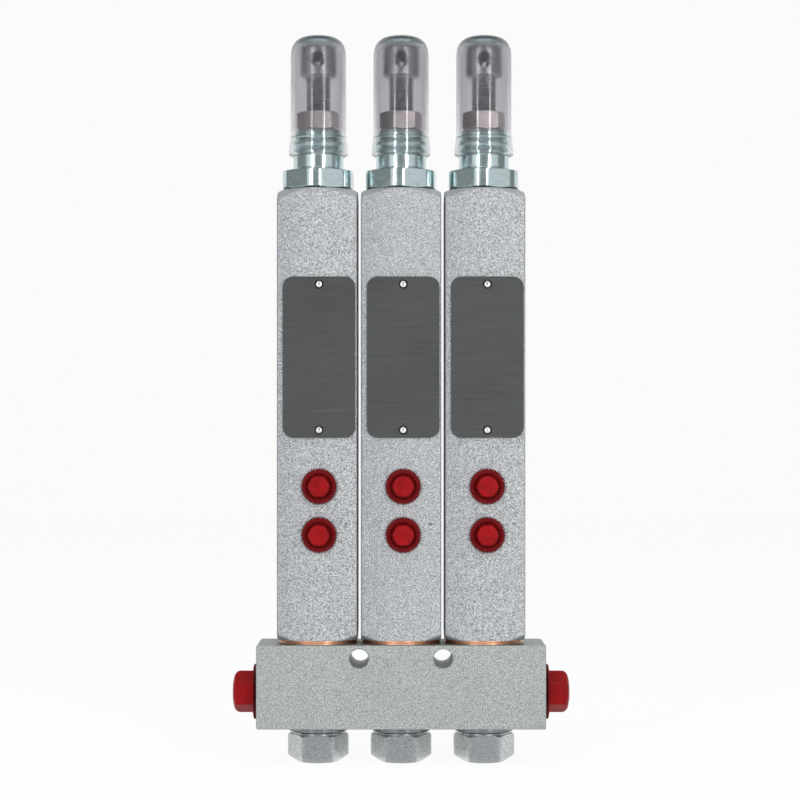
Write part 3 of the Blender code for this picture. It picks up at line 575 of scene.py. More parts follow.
class Bench(Wiring):
    """The node tree of one material, with the few tools that every finish uses."""

    def __init__(self, name: str) -> None:
        """Start a material whose tree holds a Principled shader.

        Args:
            name: The material's name.
        """
        self.material = bpy.data.materials.new(name)
        self.material.use_nodes = True
        super().__init__(self.material.node_tree)
        self.shader = self.tree.nodes["Principled BSDF"]
        self.output = self.tree.nodes["Material Output"]

    def own(self) -> bpy.types.NodeSocket:
        """The piece's own coordinates, in metres."""
        return self.node("ShaderNodeTexCoord").outputs["Object"]

    def place(self, stretch: Colour = (1.0, 1.0, 1.0)) -> bpy.types.NodeSocket:
        """The piece's own coordinates, stretched, each piece from its own offset.

        Args:
            stretch: How much the noise is squeezed along each axis.

        Returns:
            The coordinates.
        """
        lot = self.node("ShaderNodeObjectInfo").outputs["Random"]
        settings = {"operation": "MULTIPLY_ADD"}
        sockets = {0: self.own(), 1: stretch, 2: lot}
        return self.node("ShaderNodeVectorMath", settings, sockets).outputs["Vector"]

    def measure(self, axis: str) -> Signal:
        """How far a point lies along one of the piece's own axes, X, Y or Z."""
        split = self.node("ShaderNodeSeparateXYZ", {}, {0: self.own()})
        return Signal(self, split.outputs[axis])

    def radius(self) -> Signal:
        """How far a point lies from its piece's own upright axis.

        Returns:
            The distance in metres.
        """
        flat = self.node(
            "ShaderNodeVectorMath",
            {"operation": "MULTIPLY"},
            {0: self.own(), 1: (1.0, 1.0, 0.0)},
        )
        length = self.node(
            "ShaderNodeVectorMath",
            {"operation": "LENGTH"},
            {0: flat.outputs["Vector"]},
        )
        return Signal(self, length.outputs["Value"])

    def noise(
        self,
        scale: float,
        detail: float = 2.0,
        roughness: float = 0.5,
        stretch: Colour = (1.0, 1.0, 1.0),
    ) -> Signal:
        """Cloudy noise over the piece, about 0.5 on average.

        Args:
            scale: Clouds a metre.
            detail: Layers of finer noise.
            roughness: Share of the finer layers.
            stretch: How much it is squeezed along each axis.

        Returns:
            The noise, from 0 to 1.
        """
        made = self.node(
            "ShaderNodeTexNoise",
            {},
            {
                "Vector": self.place(stretch),
                "Scale": scale,
                "Detail": detail,
                "Roughness": roughness,
            },
        )
        return Signal(self, made.outputs["Fac"])

    def rings(self, fineness: float, detail: float = 2.0) -> Signal:
        """Tool marks that run round the piece's own axis, on its sides and ends.

        Args:
            fineness: Marks a metre.
            detail: Layers of finer marks.

        Returns:
            The marks, from 0 to 1.
        """
        marks = self.node(
            "ShaderNodeCombineXYZ",
            {},
            {"X": self.radius(), "Y": self.measure("Z"), "Z": 0.0},
        )
        made = self.node(
            "ShaderNodeTexNoise",
            {},
            {
                "Vector": marks.outputs["Vector"],
                "Scale": fineness,
                "Detail": detail,
                "Roughness": 0.6,
            },
        )
        return Signal(self, made.outputs["Fac"])

    def blend(self, factor: Signal | float, first: object, second: object) -> Signal:
        """Mix two colours, from the first at 0 to the second at 1.

        Args:
            factor: Share of the second colour.
            first: The colour at 0.
            second: The colour at 1.

        Returns:
            The mixed colour.
        """
        made = self.node(
            "ShaderNodeMix",
            {"data_type": "RGBA", "clamp_factor": True},
            {0: factor, 6: first, 7: second},
        )
        return Signal(self, made.outputs[2])

    def bump(self, height: Signal, strength: float, depth: float) -> None:
        """Raise the surface by a height, whose full range is depth millimetres.

        Args:
            height: The height, from 0 to 1.
            strength: Share of the full relief.
            depth: The full relief in millimetres.
        """
        made = self.node(
            "ShaderNodeBump",
            {},
            {"Height": height, "Strength": strength, "Distance": depth * MM},
        )
        self.feed(self.shader.inputs["Normal"], made.outputs["Normal"])

    def surface(self, **values: object) -> None:
        """Feed the shader's sockets by name, with _ for a space."""
        for key, value in values.items():
            self.feed(self.shader.inputs[key.replace("_", " ")], value)


# ---- Finishes -----------------------------------------------------------------------


@dataclass(frozen=True)
class Finish:
    """A finish, made into a material on first use."""

    name: str
    colour: Colour
    roughness: float
    metallic: float

    def material(self) -> bpy.types.Material:
        """The finish's material.

        Returns:
            The same material at every call.
        """
        found = bpy.data.materials.get(self.name)
        if found is not None:
            return found
        bench = Bench(self.name)
        bench.surface(
            Base_Color=self.colour, Roughness=self.roughness, Metallic=self.metallic
        )
        self.dress(bench)
        bench.material.diffuse_color = (*self.colour, 1.0)
        return bench.material

    def dress(self, bench: Bench) -> None:
        """Lay the finish's detail over its plain colour."""
        raise NotImplementedError

    def shade(self, share: float) -> Colour:
        """The finish's colour, darker or lighter."""
        return tuple(min(channel * share, 1.0) for channel in self.colour)


@dataclass(frozen=True)
class BlastedZinc(Finish):
    """Shot-blasted steel under thin zinc, which glitters in fine grains."""

    grain: float = 1500.0
    contrast: float = 0.5
    # Where the painted shade on the left side starts and ends along X, in millimetres.
    painted_shade_from: float = -15.5
    painted_shade_to: float = 1.0

    def dress(self, bench: Bench) -> None:
        """Grains, flecks, a slow cloudiness, and painted shade that darkens the piece's
        left side.

        Args:
            bench: The bench of the finish's material.
        """
        grains = bench.noise(self.grain, 2.0, 0.6).step(0.38, 0.62)
        flecks = bench.noise(self.grain * 0.9, 1.0, 0.5).step(0.58, 0.68)
        pits = bench.noise(self.grain * 0.7, 1.0, 0.5).step(0.60, 0.72)
        tints = bench.noise(620.0, 2.0, 0.6).step(0.35, 0.65)
        clouds = bench.noise(45.0, 3.0, 0.6).step(0.3, 0.7)
        # Painted shade: the piece's left side, by its own X, is blended towards a dark
        # bluish grey, as if lit from the right.
        aside = bench.measure("X").step(self.painted_shade_from * MM, self.painted_shade_to * MM)
        dark = self.shade(1 - self.contrast * 0.55)
        light = self.shade(1 + self.contrast * 0.35)
        speckled = bench.blend(grains, dark, light)
        clouded = bench.blend(clouds * 0.12, speckled, self.shade(0.78))
        tinted = bench.blend(tints * 0.22, clouded, (0.55, 0.54, 0.57))
        pitted = bench.blend(pits * 0.6, tinted, self.shade(0.35))
        left_shaded = bench.blend((1.0 - aside) * 0.36, pitted, (0.27, 0.285, 0.34))
        lit = bench.blend(flecks * 0.7, left_shaded, self.shade(1.6))
        bench.surface(
            Base_Color=lit, Roughness=self.roughness - 0.14 * flecks + 0.08 * clouds
        )
        bench.bump(grains * 0.7 + flecks * 0.3, 0.32, 0.05)


@dataclass(frozen=True)
class MilledZinc(Finish):
    """Milled steel under dull zinc, with long faint tool marks."""

    tint: Colour = (0.50, 0.52, 0.43)
    tint_share: float = 0.30
    contrast: float = 0.44
    # Painted light: a lighter colour for the side flats, standing in for the light they
    # reflect.
    painted_flank_light: Colour | None = None
    painted_flank_light_start: float = 5.7

    def _toned(self, bench: Bench, share: float) -> Colour | Signal:
        """The finish's colour at a share, with a painted lighter colour on the side
        flats beside the front.

        Args:
            bench: The bench of the finish's material.
            share: Brightness, 1 for the plain colour.

        Returns:
            The colour.
        """
        if self.painted_flank_light is None:
            return self.shade(share)
        # Painted light: flats past a distance from the middle in X take the lighter
        # flank colour.
        aside = bench.measure("X")
        start, end = self.painted_flank_light_start * MM, (self.painted_flank_light_start + 0.4) * MM
        beside = (aside * aside).step(start * start, end * end)
        painted_flank_light = tuple(channel * share for channel in self.painted_flank_light)
        return bench.blend(beside, self.shade(share), painted_flank_light)

    def dress(self, bench: Bench) -> None:
        """Fine speckle, long marks and clouds, over the painted light of the side flats
        where a flank colour is given.

        Args:
            bench: The bench of the finish's material.
        """
        speckle = bench.noise(2600.0, 2.0, 0.6).step(0.40, 0.60)
        tints = bench.noise(420.0, 2.0, 0.6).step(0.40, 0.60)
        marks = bench.noise(900.0, 3.0, 0.65, (0.03, 1.0, 1.0)).step(0.3, 0.7)
        clouds = bench.noise(38.0, 3.0, 0.6).step(0.25, 0.75)
        pits = bench.noise(420.0, 2.0, 0.6).step(0.66, 0.74)
        dark = self._toned(bench, 1 - self.contrast)
        light = self._toned(bench, 1 + self.contrast)
        base = bench.blend(speckle, dark, light)
        base = bench.blend(tints * self.tint_share, base, self.tint)
        base = bench.blend(clouds * 0.22, base, self.shade(0.82))
        base = bench.blend(pits * 0.35, base, self.shade(0.6))
        bench.surface(
            Base_Color=base,
            Roughness=self.roughness + 0.12 * clouds - 0.08 * marks,
        )
        bench.bump(speckle * 0.5 + marks * 0.5, 0.18, 0.03)


@dataclass(frozen=True)
class TurnedMetal(Finish):
    """Turned metal whose tool marks run round its axis."""

    fineness: float = 2600.0
    ring_share: float = 0.12
    stain: Colour = (0.4, 0.4, 0.4)
    stain_share: float = 0.25
    head: Colour | None = None
    head_foot: float = 0.0
    # Painted shade: radius, foot and top of a near-black zone inside a hole, or None.
    hollow: tuple[float, float, float] | None = None

    def _with_painted_hole_shade(self, bench: Bench, colour: Signal) -> Signal:
        """Darken the walls inside a radius and between two heights with painted shade.

        Args:
            bench: The bench of the finish's material.
            colour: The colour of the rest.

        Returns:
            The colour with the painted shade on the walls.
        """
        if self.hollow is None:
            return colour
        inner, foot, top = (size * MM for size in self.hollow)
        soft = 0.2 * MM
        height = bench.measure("Z")
        inside = bench.radius().step(inner, inner - soft)
        level = height.step(foot, foot + soft) * height.step(top, top - soft)
        # Painted shade: the hole's walls are blended to a near-black teal.
        return bench.blend(inside * level * 0.92, colour, (0.010, 0.018, 0.018))

    def _toned(self, bench: Bench, share: float) -> Colour | Signal:
        """The finish's colour at a share, and the head's own above its foot.

        Args:
            bench: The bench of the finish's material.
            share: Brightness, 1 for the plain colour.

        Returns:
            The colour.
        """
        if self.head is None:
            return self.shade(share)
        above = bench.measure("Z").step(
            (self.head_foot - 0.1) * MM, (self.head_foot + 0.1) * MM
        )
        head = tuple(channel * share for channel in self.head)
        return bench.blend(above, self.shade(share), head)

    def dress(self, bench: Bench) -> None:
        """Tool marks, stains in clouds, a few nicks, and painted shade in a hole where
        one is given.

        Args:
            bench: The bench of the finish's material.
        """
        marks = bench.rings(self.fineness, 3.0)
        clouds = bench.noise(150.0, 3.0, 0.65).step(0.45, 0.72)
        nicks = bench.noise(520.0, 1.0, 0.5).step(0.68, 0.74)
        low = self._toned(bench, 1 - self.ring_share)
        high = self._toned(bench, 1 + self.ring_share)
        ringed = bench.blend(marks.step(0.3, 0.7), low, high)
        stained = bench.blend(clouds * self.stain_share, ringed, self.stain)
        worn = bench.blend(nicks * 0.3, stained, self.shade(0.55))
        bench.surface(
            Base_Color=self._with_painted_hole_shade(bench, worn),
            Roughness=self.roughness + 0.10 * clouds + 0.08 * (marks - 0.5),
        )
        bench.bump(marks - 0.4 * nicks, 0.22, 0.02)


@dataclass(frozen=True)
class BrushedPlate(Finish):
    """Satin plate metal with its grain across the plate."""

    def dress(self, bench: Bench) -> None:
        """Grain, a slow sheen and a few hairline scratches.

        Args:
            bench: The bench of the finish's material.
        """
        grain = bench.noise(5200.0, 2.0, 0.7, (0.012, 1.0, 1.0)).step(0.25, 0.75)
        sheen = bench.noise(42.0, 2.0, 0.5).step(0.25, 0.75)
        hairs = bench.noise(800.0, 1.0, 0.5, (0.05, 1.0, 1.0)).step(0.70, 0.76)
        base = bench.blend(grain, self.shade(0.82), self.shade(1.18))
        base = bench.blend(sheen * 0.25, base, self.shade(1.25))
        base = bench.blend(hairs * 0.3, base, self.shade(1.6))
        bench.surface(
            Base_Color=base,
            Roughness=self.roughness + 0.10 * (grain - 0.5) + 0.06 * sheen,
        )
        bench.bump(grain, 0.12, 0.01)


@dataclass(frozen=True)
class CopperFinish(Finish):
    """Soft copper, bright on its rim and browned in clouds."""

    def dress(self, bench: Bench) -> None:
        """Brown clouds, tool marks and small dents.

        Args:
            bench: The bench of the finish's material.
        """
        clouds = bench.noise(210.0, 3.0, 0.6).step(0.35, 0.7)
        marks = bench.rings(3200.0)
        dents = bench.noise(460.0, 2.0, 0.5)
        browned = bench.blend(clouds * 0.40, self.colour, (0.42, 0.19, 0.11))
        ringed = bench.blend(marks.step(0.35, 0.7) * 0.3, browned, self.shade(1.25))
        bench.surface(Base_Color=ringed, Roughness=self.roughness + 0.15 * clouds)
        bench.bump(dents * 0.7 + marks * 0.3, 0.35, 0.05)


@dataclass(frozen=True)
class MouldedPlastic(Finish):
    """Satin moulded plastic with slow flow clouds and a fine skin."""

    # Painted shade on the flange: full below this height and gone at head_foot.
    flange_shade_top: float = 1.2
    head_foot: float = 2.4

    def dress(self, bench: Bench) -> None:
        """Flow clouds, skin, scuffs, and painted shade on the flange round the head.

        Args:
            bench: The bench of the finish's material.
        """
        flow = bench.noise(160.0, 3.0, 0.6).step(0.3, 0.7)
        skin = bench.noise(2400.0, 2.0, 0.6)
        scuffs = bench.noise(700.0, 2.0, 0.6, (1.0, 0.3, 1.0)).step(0.66, 0.76)
        clear_of_flange_shade = bench.measure("Z").step(self.flange_shade_top * MM, self.head_foot * MM)
        tinted = bench.blend(flow, self.shade(0.8), self.shade(1.16))
        # Painted shade: the flange below the head is darkened to 0.4 of the colour.
        tinted = bench.blend(clear_of_flange_shade, self.shade(0.40), tinted)
        scuffed = bench.blend(scuffs * 0.08, tinted, (0.55, 0.08, 0.08))
        bench.surface(
            Base_Color=scuffed,
            Roughness=self.roughness + 0.12 * scuffs + 0.05 * flow,
            Specular_IOR_Level=0.18,
            IOR=1.45,
        )
        bench.bump(skin, 0.10, 0.02)


@dataclass(frozen=True)
class ClearPlastic(Finish):
    """Clear plastic, very slightly milky, with the faint lines of its mould."""

    crown: Colour = (0.10, 0.165, 0.18)
    crown_height: float = 246.45
    frost_foot: float = 214.0
    frost_top: float = 232.0
    skirt: Colour = (0.84, 0.88, 0.885)
    skirt_foot: float = 210.0
    skirt_top: float = 213.0

    def dress(self, bench: Bench) -> None:
        """Haze, a denser crown and a soft unevenness.

        Args:
            bench: The bench of the finish's material.
        """
        haze = bench.noise(240.0, 3.0, 0.6).step(0.35, 0.75)
        wave = bench.noise(120.0, 1.0, 0.5)
        height = bench.measure("Z")
        crown = height.step((self.crown_height - 0.5) * MM, self.crown_height * MM)
        upper = height.step(self.frost_foot * MM, self.frost_top * MM)
        lower = height.step(self.skirt_top * MM, self.skirt_foot * MM)
        tint = bench.blend(haze * 0.6, self.colour, self.shade(0.94))
        tint = bench.blend(lower, tint, self.skirt)
        bench.surface(
            Base_Color=bench.blend(crown, tint, self.crown),
            Roughness=self.roughness + 0.11 * upper + 0.03 * haze,
            Transmission_Weight=0.95,
            IOR=1.45,
            Coat_Weight=0.08,
            Coat_Roughness=0.04,
            Coat_IOR=1.5,
        )
        bench.bump(wave, 0.06, 0.06)


@dataclass(frozen=True)
class MouldedRubber(Finish):
    """Matt black rubber."""

    def dress(self, bench: Bench) -> None:
        """A dusty, fine skin.

        Args:
            bench: The bench of the finish's material.
        """
        dust = bench.noise(900.0, 3.0, 0.6).step(0.4, 0.8)
        bench.surface(
            Base_Color=bench.blend(dust * 0.3, self.colour, (0.08, 0.08, 0.08)),
            Roughness=self.roughness + 0.1 * dust,
        )
        bench.bump(dust, 0.2, 0.03)


class Finishes(Enum):
    """The finishes of the object's pieces."""

    BODY = BlastedZinc(
        "body blasted zinc", (0.545, 0.565, 0.575), 0.50, 0.45, 3000.0, 1.3
    )
    BAR = MilledZinc("bar milled zinc", (0.445, 0.48, 0.47), 0.50, 0.42)
    STOP_PLUG = TurnedMetal(
        "stop plug bright zinc", (0.58, 0.69, 0.70), 0.17, 1.0, 2400.0, 0.06
    )
    NUT = TurnedMetal(
        "lock nut steel", (0.52, 0.465, 0.445), 0.34, 0.9, 3000.0, 0.06,
        (0.46, 0.39, 0.35), 0.3,
    )
    # The screw's last three numbers place painted shade in its sight hole and bore.
    SCREW = TurnedMetal(
        "adjusting screw steel", (0.15, 0.155, 0.165), 0.34, 0.9, 2800.0, 0.12,
        (0.10, 0.10, 0.11), 0.4, (0.44, 0.42, 0.45), 232.0, (6.6, 234.5, 242.4),
    )
    # The bolt's darker colour on its front flats is painted shade, and its lighter
    # flank colour is painted light on its side flats.
    BOLT = MilledZinc(
        "adaptor bolt zinc", (0.31, 0.335, 0.345), 0.31, 0.95, (0.44, 0.46, 0.45), 0.15,
        0.36, (0.62, 0.64, 0.64),
    )
    # Painted shade: the washer's colour is darkened to stand for the shadow under the
    # bar.
    WASHER = TurnedMetal(
        "zinc washer darkened as painted shade", (0.20, 0.225, 0.235), 0.26, 0.95, 2600.0, 0.2,
        (0.08, 0.09, 0.10), 0.4,
    )
    BARE_STEEL = TurnedMetal(
        "bare inner steel", (0.50, 0.50, 0.51), 0.25, 1.0, 2600.0, 0.08,
        (0.28, 0.26, 0.24), 0.3,
    )
    COPPER = CopperFinish("copper gasket", (0.86, 0.50, 0.35), 0.30, 1.0)
    PLATE = BrushedPlate("plate satin grey", (0.085, 0.089, 0.089), 0.42, 0.6)
    PIN = TurnedMetal(
        "drive pin aluminium", (0.80, 0.80, 0.80), 0.25, 1.0, 5000.0, 0.05,
        (0.5, 0.5, 0.5), 0.2,
    )
    RED = MouldedPlastic("plug red plastic", (0.375, 0.004, 0.007), 0.38, 0.0)
    CLEAR = ClearPlastic("cap clear plastic", (0.74, 0.73, 0.765), 0.09, 0.0)
    RUBBER = MouldedRubber("packing rubber", (0.025, 0.025, 0.025), 0.6, 0.0)


# ---- Fitting pieces to the frame ----------------------------------------------------


class Slot(Enum):
    """The record's material slots."""

    BODY = "body_steel"
    BAR = "manifold_steel"
    BRIGHT_ZINC = "bright_zinc"
    BOLT_ZINC = "bolt_zinc"
    SCREW = "screw_steel"
    BARE_STEEL = "bare_steel"
    COPPER = "copper"
    WASHER = "washer_steel"
    PLATE = "plate_grey"
    PIN = "pin_aluminium"
    RED = "red_plastic"
    CLEAR = "clear_plastic"
    RUBBER = "packing_rubber"


def fit(
    piece: bpy.types.Object, node: str | None, body: str, slot: Slot, finish: Finishes
) -> None:
    """Dress a finished piece and let it stand for its CAD node.

    Args:
        piece: The piece, in place.
        node: The CAD node that it replaces, if it replaces one by itself.
        body: The CAD body that it rides on.
        slot: The record's slot of its finish; not used.
        finish: Its finish.
    """
    piece.data.materials.clear()
    piece.data.materials.append(finish.value.material())
    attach(piece, body)
    if node is not None:
        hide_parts(node)
    LOG.info("%s stands for %s on %s", piece.name, node, body)


# ---- Bar ----------------------------------------------------------------------------


@dataclass
class ManifoldBar:
    """The square bar with its gallery, bolt holes and two mounting holes."""

    edge: float = 0.75
    bolt_bore: float = 6.65
    gallery_bore: float = 4.5
    inlet_bore: float = 7.5
    inlet_depth: float = 13.0
    mount_bore: float = 3.6
    layout: Layout = LAYOUT

    def build(self) -> None:
        """Make the bar, cut its holes and fit it."""
        side = self.layout.bar_side
        shape = bmesh.new()
        bmesh.ops.create_cube(shape, size=1.0)
        size = Vector((self.layout.bar_length, side, side)) * MM
        bmesh.ops.scale(shape, vec=size, verts=shape.verts)
        bmesh.ops.bevel(
            shape,
            geom=list(shape.edges),
            offset=self.edge * MM,
            offset_type="OFFSET",
            segments=3,
            affect="EDGES",
            profile=0.6,
        )
        middle = Vector((0.0, self.layout.axis_y, 0.0)) * MM
        bmesh.ops.translate(shape, vec=middle, verts=shape.verts)
        bar = carved(shown("milled_manifold_bar", shape), self._cutters())
        fit(smoothed(bar), "manifold", "assembly", Slot.BAR, Finishes.BAR)

    def _cutters(self) -> list[bpy.types.Object]:
        """Cutters of every hole.

        Returns:
            The cutters, in place.
        """
        layout = self.layout
        end = layout.bar_length / 2
        cutters = [
            drill(
                self.gallery_bore,
                layout.bar_length - self.inlet_depth,
                Station(end - 1.0, layout.axis_y, layout.gallery, Facing.RIGHT),
                0.0,
            )
        ]
        for side, facing in ((-1, Facing.LEFT), (1, Facing.RIGHT)):
            mouth = Station(side * end, layout.axis_y, layout.gallery, facing)
            cutters.append(drill(self.inlet_bore, self.inlet_depth, mouth, 0.35))
        for number in (1, 2, 3):
            x = layout.axis(number).x
            top = Station(x, layout.axis_y, layout.bar_side / 2)
            cutters.append(
                drill(self.bolt_bore, 0.0, top, 0.3, through=layout.bar_side)
            )
        for side in (-1, 1):
            mouth = Station(
                side * layout.pitch / 2,
                -layout.bar_side,
                layout.mount_hole_height,
                Facing.FRONT,
            )
            cutters.append(
                drill(self.mount_bore, 0.0, mouth, 0.35, through=layout.bar_side)
            )
        return cutters


# ---- Bodies -------------------------------------------------------------------------


@dataclass
class InjectorBody:
    """A square body with coned ends, its stepped bore and its front holes."""

    foot: float = 17.575
    top: float = 188.975
    corner: float = 1.0
    top_round: float = 14.1
    top_slope: float = 29.0
    foot_round: float = 17.5
    foot_slope: float = 32.0
    far: float = 22.6
    seal_pocket: float = 12.1
    seal_depth: float = 1.7
    stop_hole: float = 10.3
    stop_foot: float = 174.975
    piston_bore: float = 8.0
    piston_floor: float = 83.575
    valve_bore: float = 4.0
    bolt_end: float = 31.575
    bolt_bore: float = 6.65
    outlet_bore: float = 4.7
    outlet_depth: float = 8.5
    port_bore: float = 2.0
    pinhole_bore: float = 0.55
    pinhole_aside: float = 10.2
    pinhole_rise: float = 4.2
    pin_bore: float = 0.9
    layout: Layout = LAYOUT

    def build(self, number: int) -> None:
        """Make one body, cut its outlets and pin holes and fit it.

        Args:
            number: The injector, counted from 1 at the left.
        """
        square = Prism(self.layout.body_width, 4, self.corner, math.radians(45.0))
        top_fall = (self.far - self.top_round) * math.tan(math.radians(self.top_slope))
        foot_rise = (self.far - self.foot_round) * math.tan(
            math.radians(self.foot_slope)
        )
        shoulder = (self.far, self.top - top_fall)
        heel = (self.far, self.foot + foot_rise)
        outside = rounded(
            [
                (self.seal_pocket, self.top),
                (self.top_round, self.top, 0.35),
                shoulder,
            ]
        )
        cone = rows_between(outside[-2], shoulder, 16)
        sole = (self.foot_round, self.foot)
        points = outside[:-2] + cone + [shoulder]
        points += rows_between(heel, sole, 14) + rounded(
            [heel, (*sole, 0.3), (self.bolt_bore, self.foot)]
        )[1:]
        points += [
            (self.bolt_bore, self.bolt_end),
            (self.valve_bore, self.bolt_end),
            (self.valve_bore, self.piston_floor),
            (self.piston_bore, self.piston_floor),
            (self.piston_bore, self.stop_foot),
            (self.stop_hole, self.stop_foot),
            (self.stop_hole, self.top - self.seal_depth),
            (self.seal_pocket, self.top - self.seal_depth),
        ]
        body = turned(
            f"blasted_body_{number}",
            points,
            square.angles(22, 4),
            square.trimmer(self.seal_pocket, 0.35),
            True,
        )
        carved(body, self._cutters())
        self.layout.axis(number).hold(body)
        fit(
            smoothed(body),
            f"injector_body_{number}",
            "assembly",
            Slot.BODY,
            Finishes.BODY,
        )

    def _cutters(self) -> list[bpy.types.Object]:
        """Cutters of the front holes, about a body that stands on the row's origin.

        Returns:
            The cutters, in place.
        """
        layout = self.layout
        front = -layout.body_width / 2
        aside = layout.front_offset
        cutters = []
        for height in (layout.lower_outlet, layout.upper_outlet):
            mouth = Station(aside, front, height, Facing.FRONT)
            cutters.append(drill(self.outlet_bore, self.outlet_depth, mouth, 0.35))
            cutters.append(drill(self.port_bore, -front, mouth, 0.0, 32))
        pinhole = Station(
            aside + self.pinhole_aside,
            front,
            layout.lower_outlet + self.pinhole_rise,
            Facing.FRONT,
        )
        cutters.append(drill(self.pinhole_bore, 1.0, pinhole, 0.1, 20))
        for height in NamePlate().pin_heights():
            mouth = Station(aside, front, height, Facing.FRONT)
            cutters.append(drill(self.pin_bore, 3.5, mouth, 0.0, 24))
        return cutters


@dataclass
class NamePlate:
    """The bare plate on a body's front and the two drive pins that hold it."""

    width: float = 27.4
    height: float = 60.8
    foot: float = 94.275
    corner: float = 4.0
    lift: float = 0.3
    thick: float = 0.8
    edge: float = 0.22
    pin_margin: float = 2.9
    pin_shank: float = 0.6
    pin_head: float = 1.2
    pin_rise: float = 0.6
    pin_depth: float = 3.2
    pin_hole: float = 0.9
    pin_sink: float = 0.95
    pin_seat: float = 0.85
    layout: Layout = LAYOUT

    def pin_heights(self) -> tuple[float, float]:
        """Heights of the lower and the upper pin.

        Returns:
            The two heights in millimetres.
        """
        return (
            self.foot + self.pin_margin,
            self.foot + self.height - self.pin_margin,
        )

    def _outline(self, inset: float, steps: int = 12) -> list[Point]:
        """The plate's outline, drawn in by inset.

        Args:
            inset: How far inside the edge.
            steps: Facets in each corner.

        Returns:
            The outline's points about its middle.
        """
        points = []
        corner = self.corner - inset
        for quarter in range(4):
            side_x = 1 if quarter in (0, 3) else -1
            side_y = 1 if quarter in (0, 1) else -1
            centre_x = side_x * (self.width / 2 - self.corner)
            centre_y = side_y * (self.height / 2 - self.corner)
            for i in range(steps + 1):
                angle = math.pi / 2 * (quarter + i / steps)
                points.append(
                    (
                        centre_x + corner * math.cos(angle),
                        centre_y + corner * math.sin(angle),
                    )
                )
        return points

    def _plate(self, number: int) -> bpy.types.Object:
        """The plate's mesh, eased at its front edge, with its two pin holes.

        Args:
            number: The injector, counted from 1 at the left.

        Returns:
            The plate about its own middle.
        """
        top = self.lift + self.thick
        levels = [
            (0.0, self.lift),
            (0.0, top - self.edge),
            (self.edge * 0.3, top - self.edge * 0.3),
            (self.edge, top),
        ]
        shape = bmesh.new()
        rows = []
        for inset, height in levels:
            outline = self._outline(inset)
            rows.append(
                [shape.verts.new(Vector((x, y, height)) * MM) for x, y in outline]
            )
        count = len(rows[0])
        for lower, upper in zip(rows, rows[1:]):
            for i in range(count):
                j = (i + 1) % count
                shape.faces.new((lower[i], lower[j], upper[j], upper[i]))
        shape.faces.new(rows[0][::-1])
        shape.faces.new(rows[-1])
        plate = shown(f"bare_plate_{number}", shape)
        middle = self.foot + self.height / 2
        cutters = []
        for height in self.pin_heights():
            mouth = Station(0.0, height - middle, top)
            cutters.append(drill(self.pin_hole, 2.0, mouth, self.pin_sink, 40))
        return carved(plate, cutters)

    def build(self, number: int) -> None:
        """Make the plate and its pins and fit them.

        Args:
            number: The injector, counted from 1 at the left.
        """
        plate = self._plate(number)
        middle = self.foot + self.height / 2
        self.layout.on_front(number, middle).hold(plate)
        fit(
            smoothed(plate),
            f"name_plate_{number}",
            "assembly",
            Slot.PLATE,
            Finishes.PLATE,
        )
        for place, height in zip(("lower", "upper"), self.pin_heights()):
            pin = self._pin(f"drive_pin_{place}_{number}")
            self.layout.on_front(number, height).hold(pin)
            fit(
                smoothed(pin),
                f"plate_pin_{place}_{number}",
                "assembly",
                Slot.PIN,
                Finishes.PIN,
            )

    def _pin(self, name: str) -> bpy.types.Object:
        """One drive pin with its domed head.

        Args:
            name: Name of the piece.

        Returns:
            The pin, its +Z out of the plate.
        """
        seat = self.pin_seat
        dome = [
            (
                self.pin_head * math.sin(math.pi / 2 * i / 6),
                seat + 0.18 + (self.pin_rise - 0.18) * math.cos(math.pi / 2 * i / 6),
            )
            for i in range(7)
        ]
        points = dome + [
            (self.pin_head, seat),
            (self.pin_shank, seat),
            (self.pin_shank, -self.pin_depth),
            (0.0, -self.pin_depth),
        ]
        return turned(name, points, even_angles(32))


# ---- Top works ----------------------------------------------------------------------


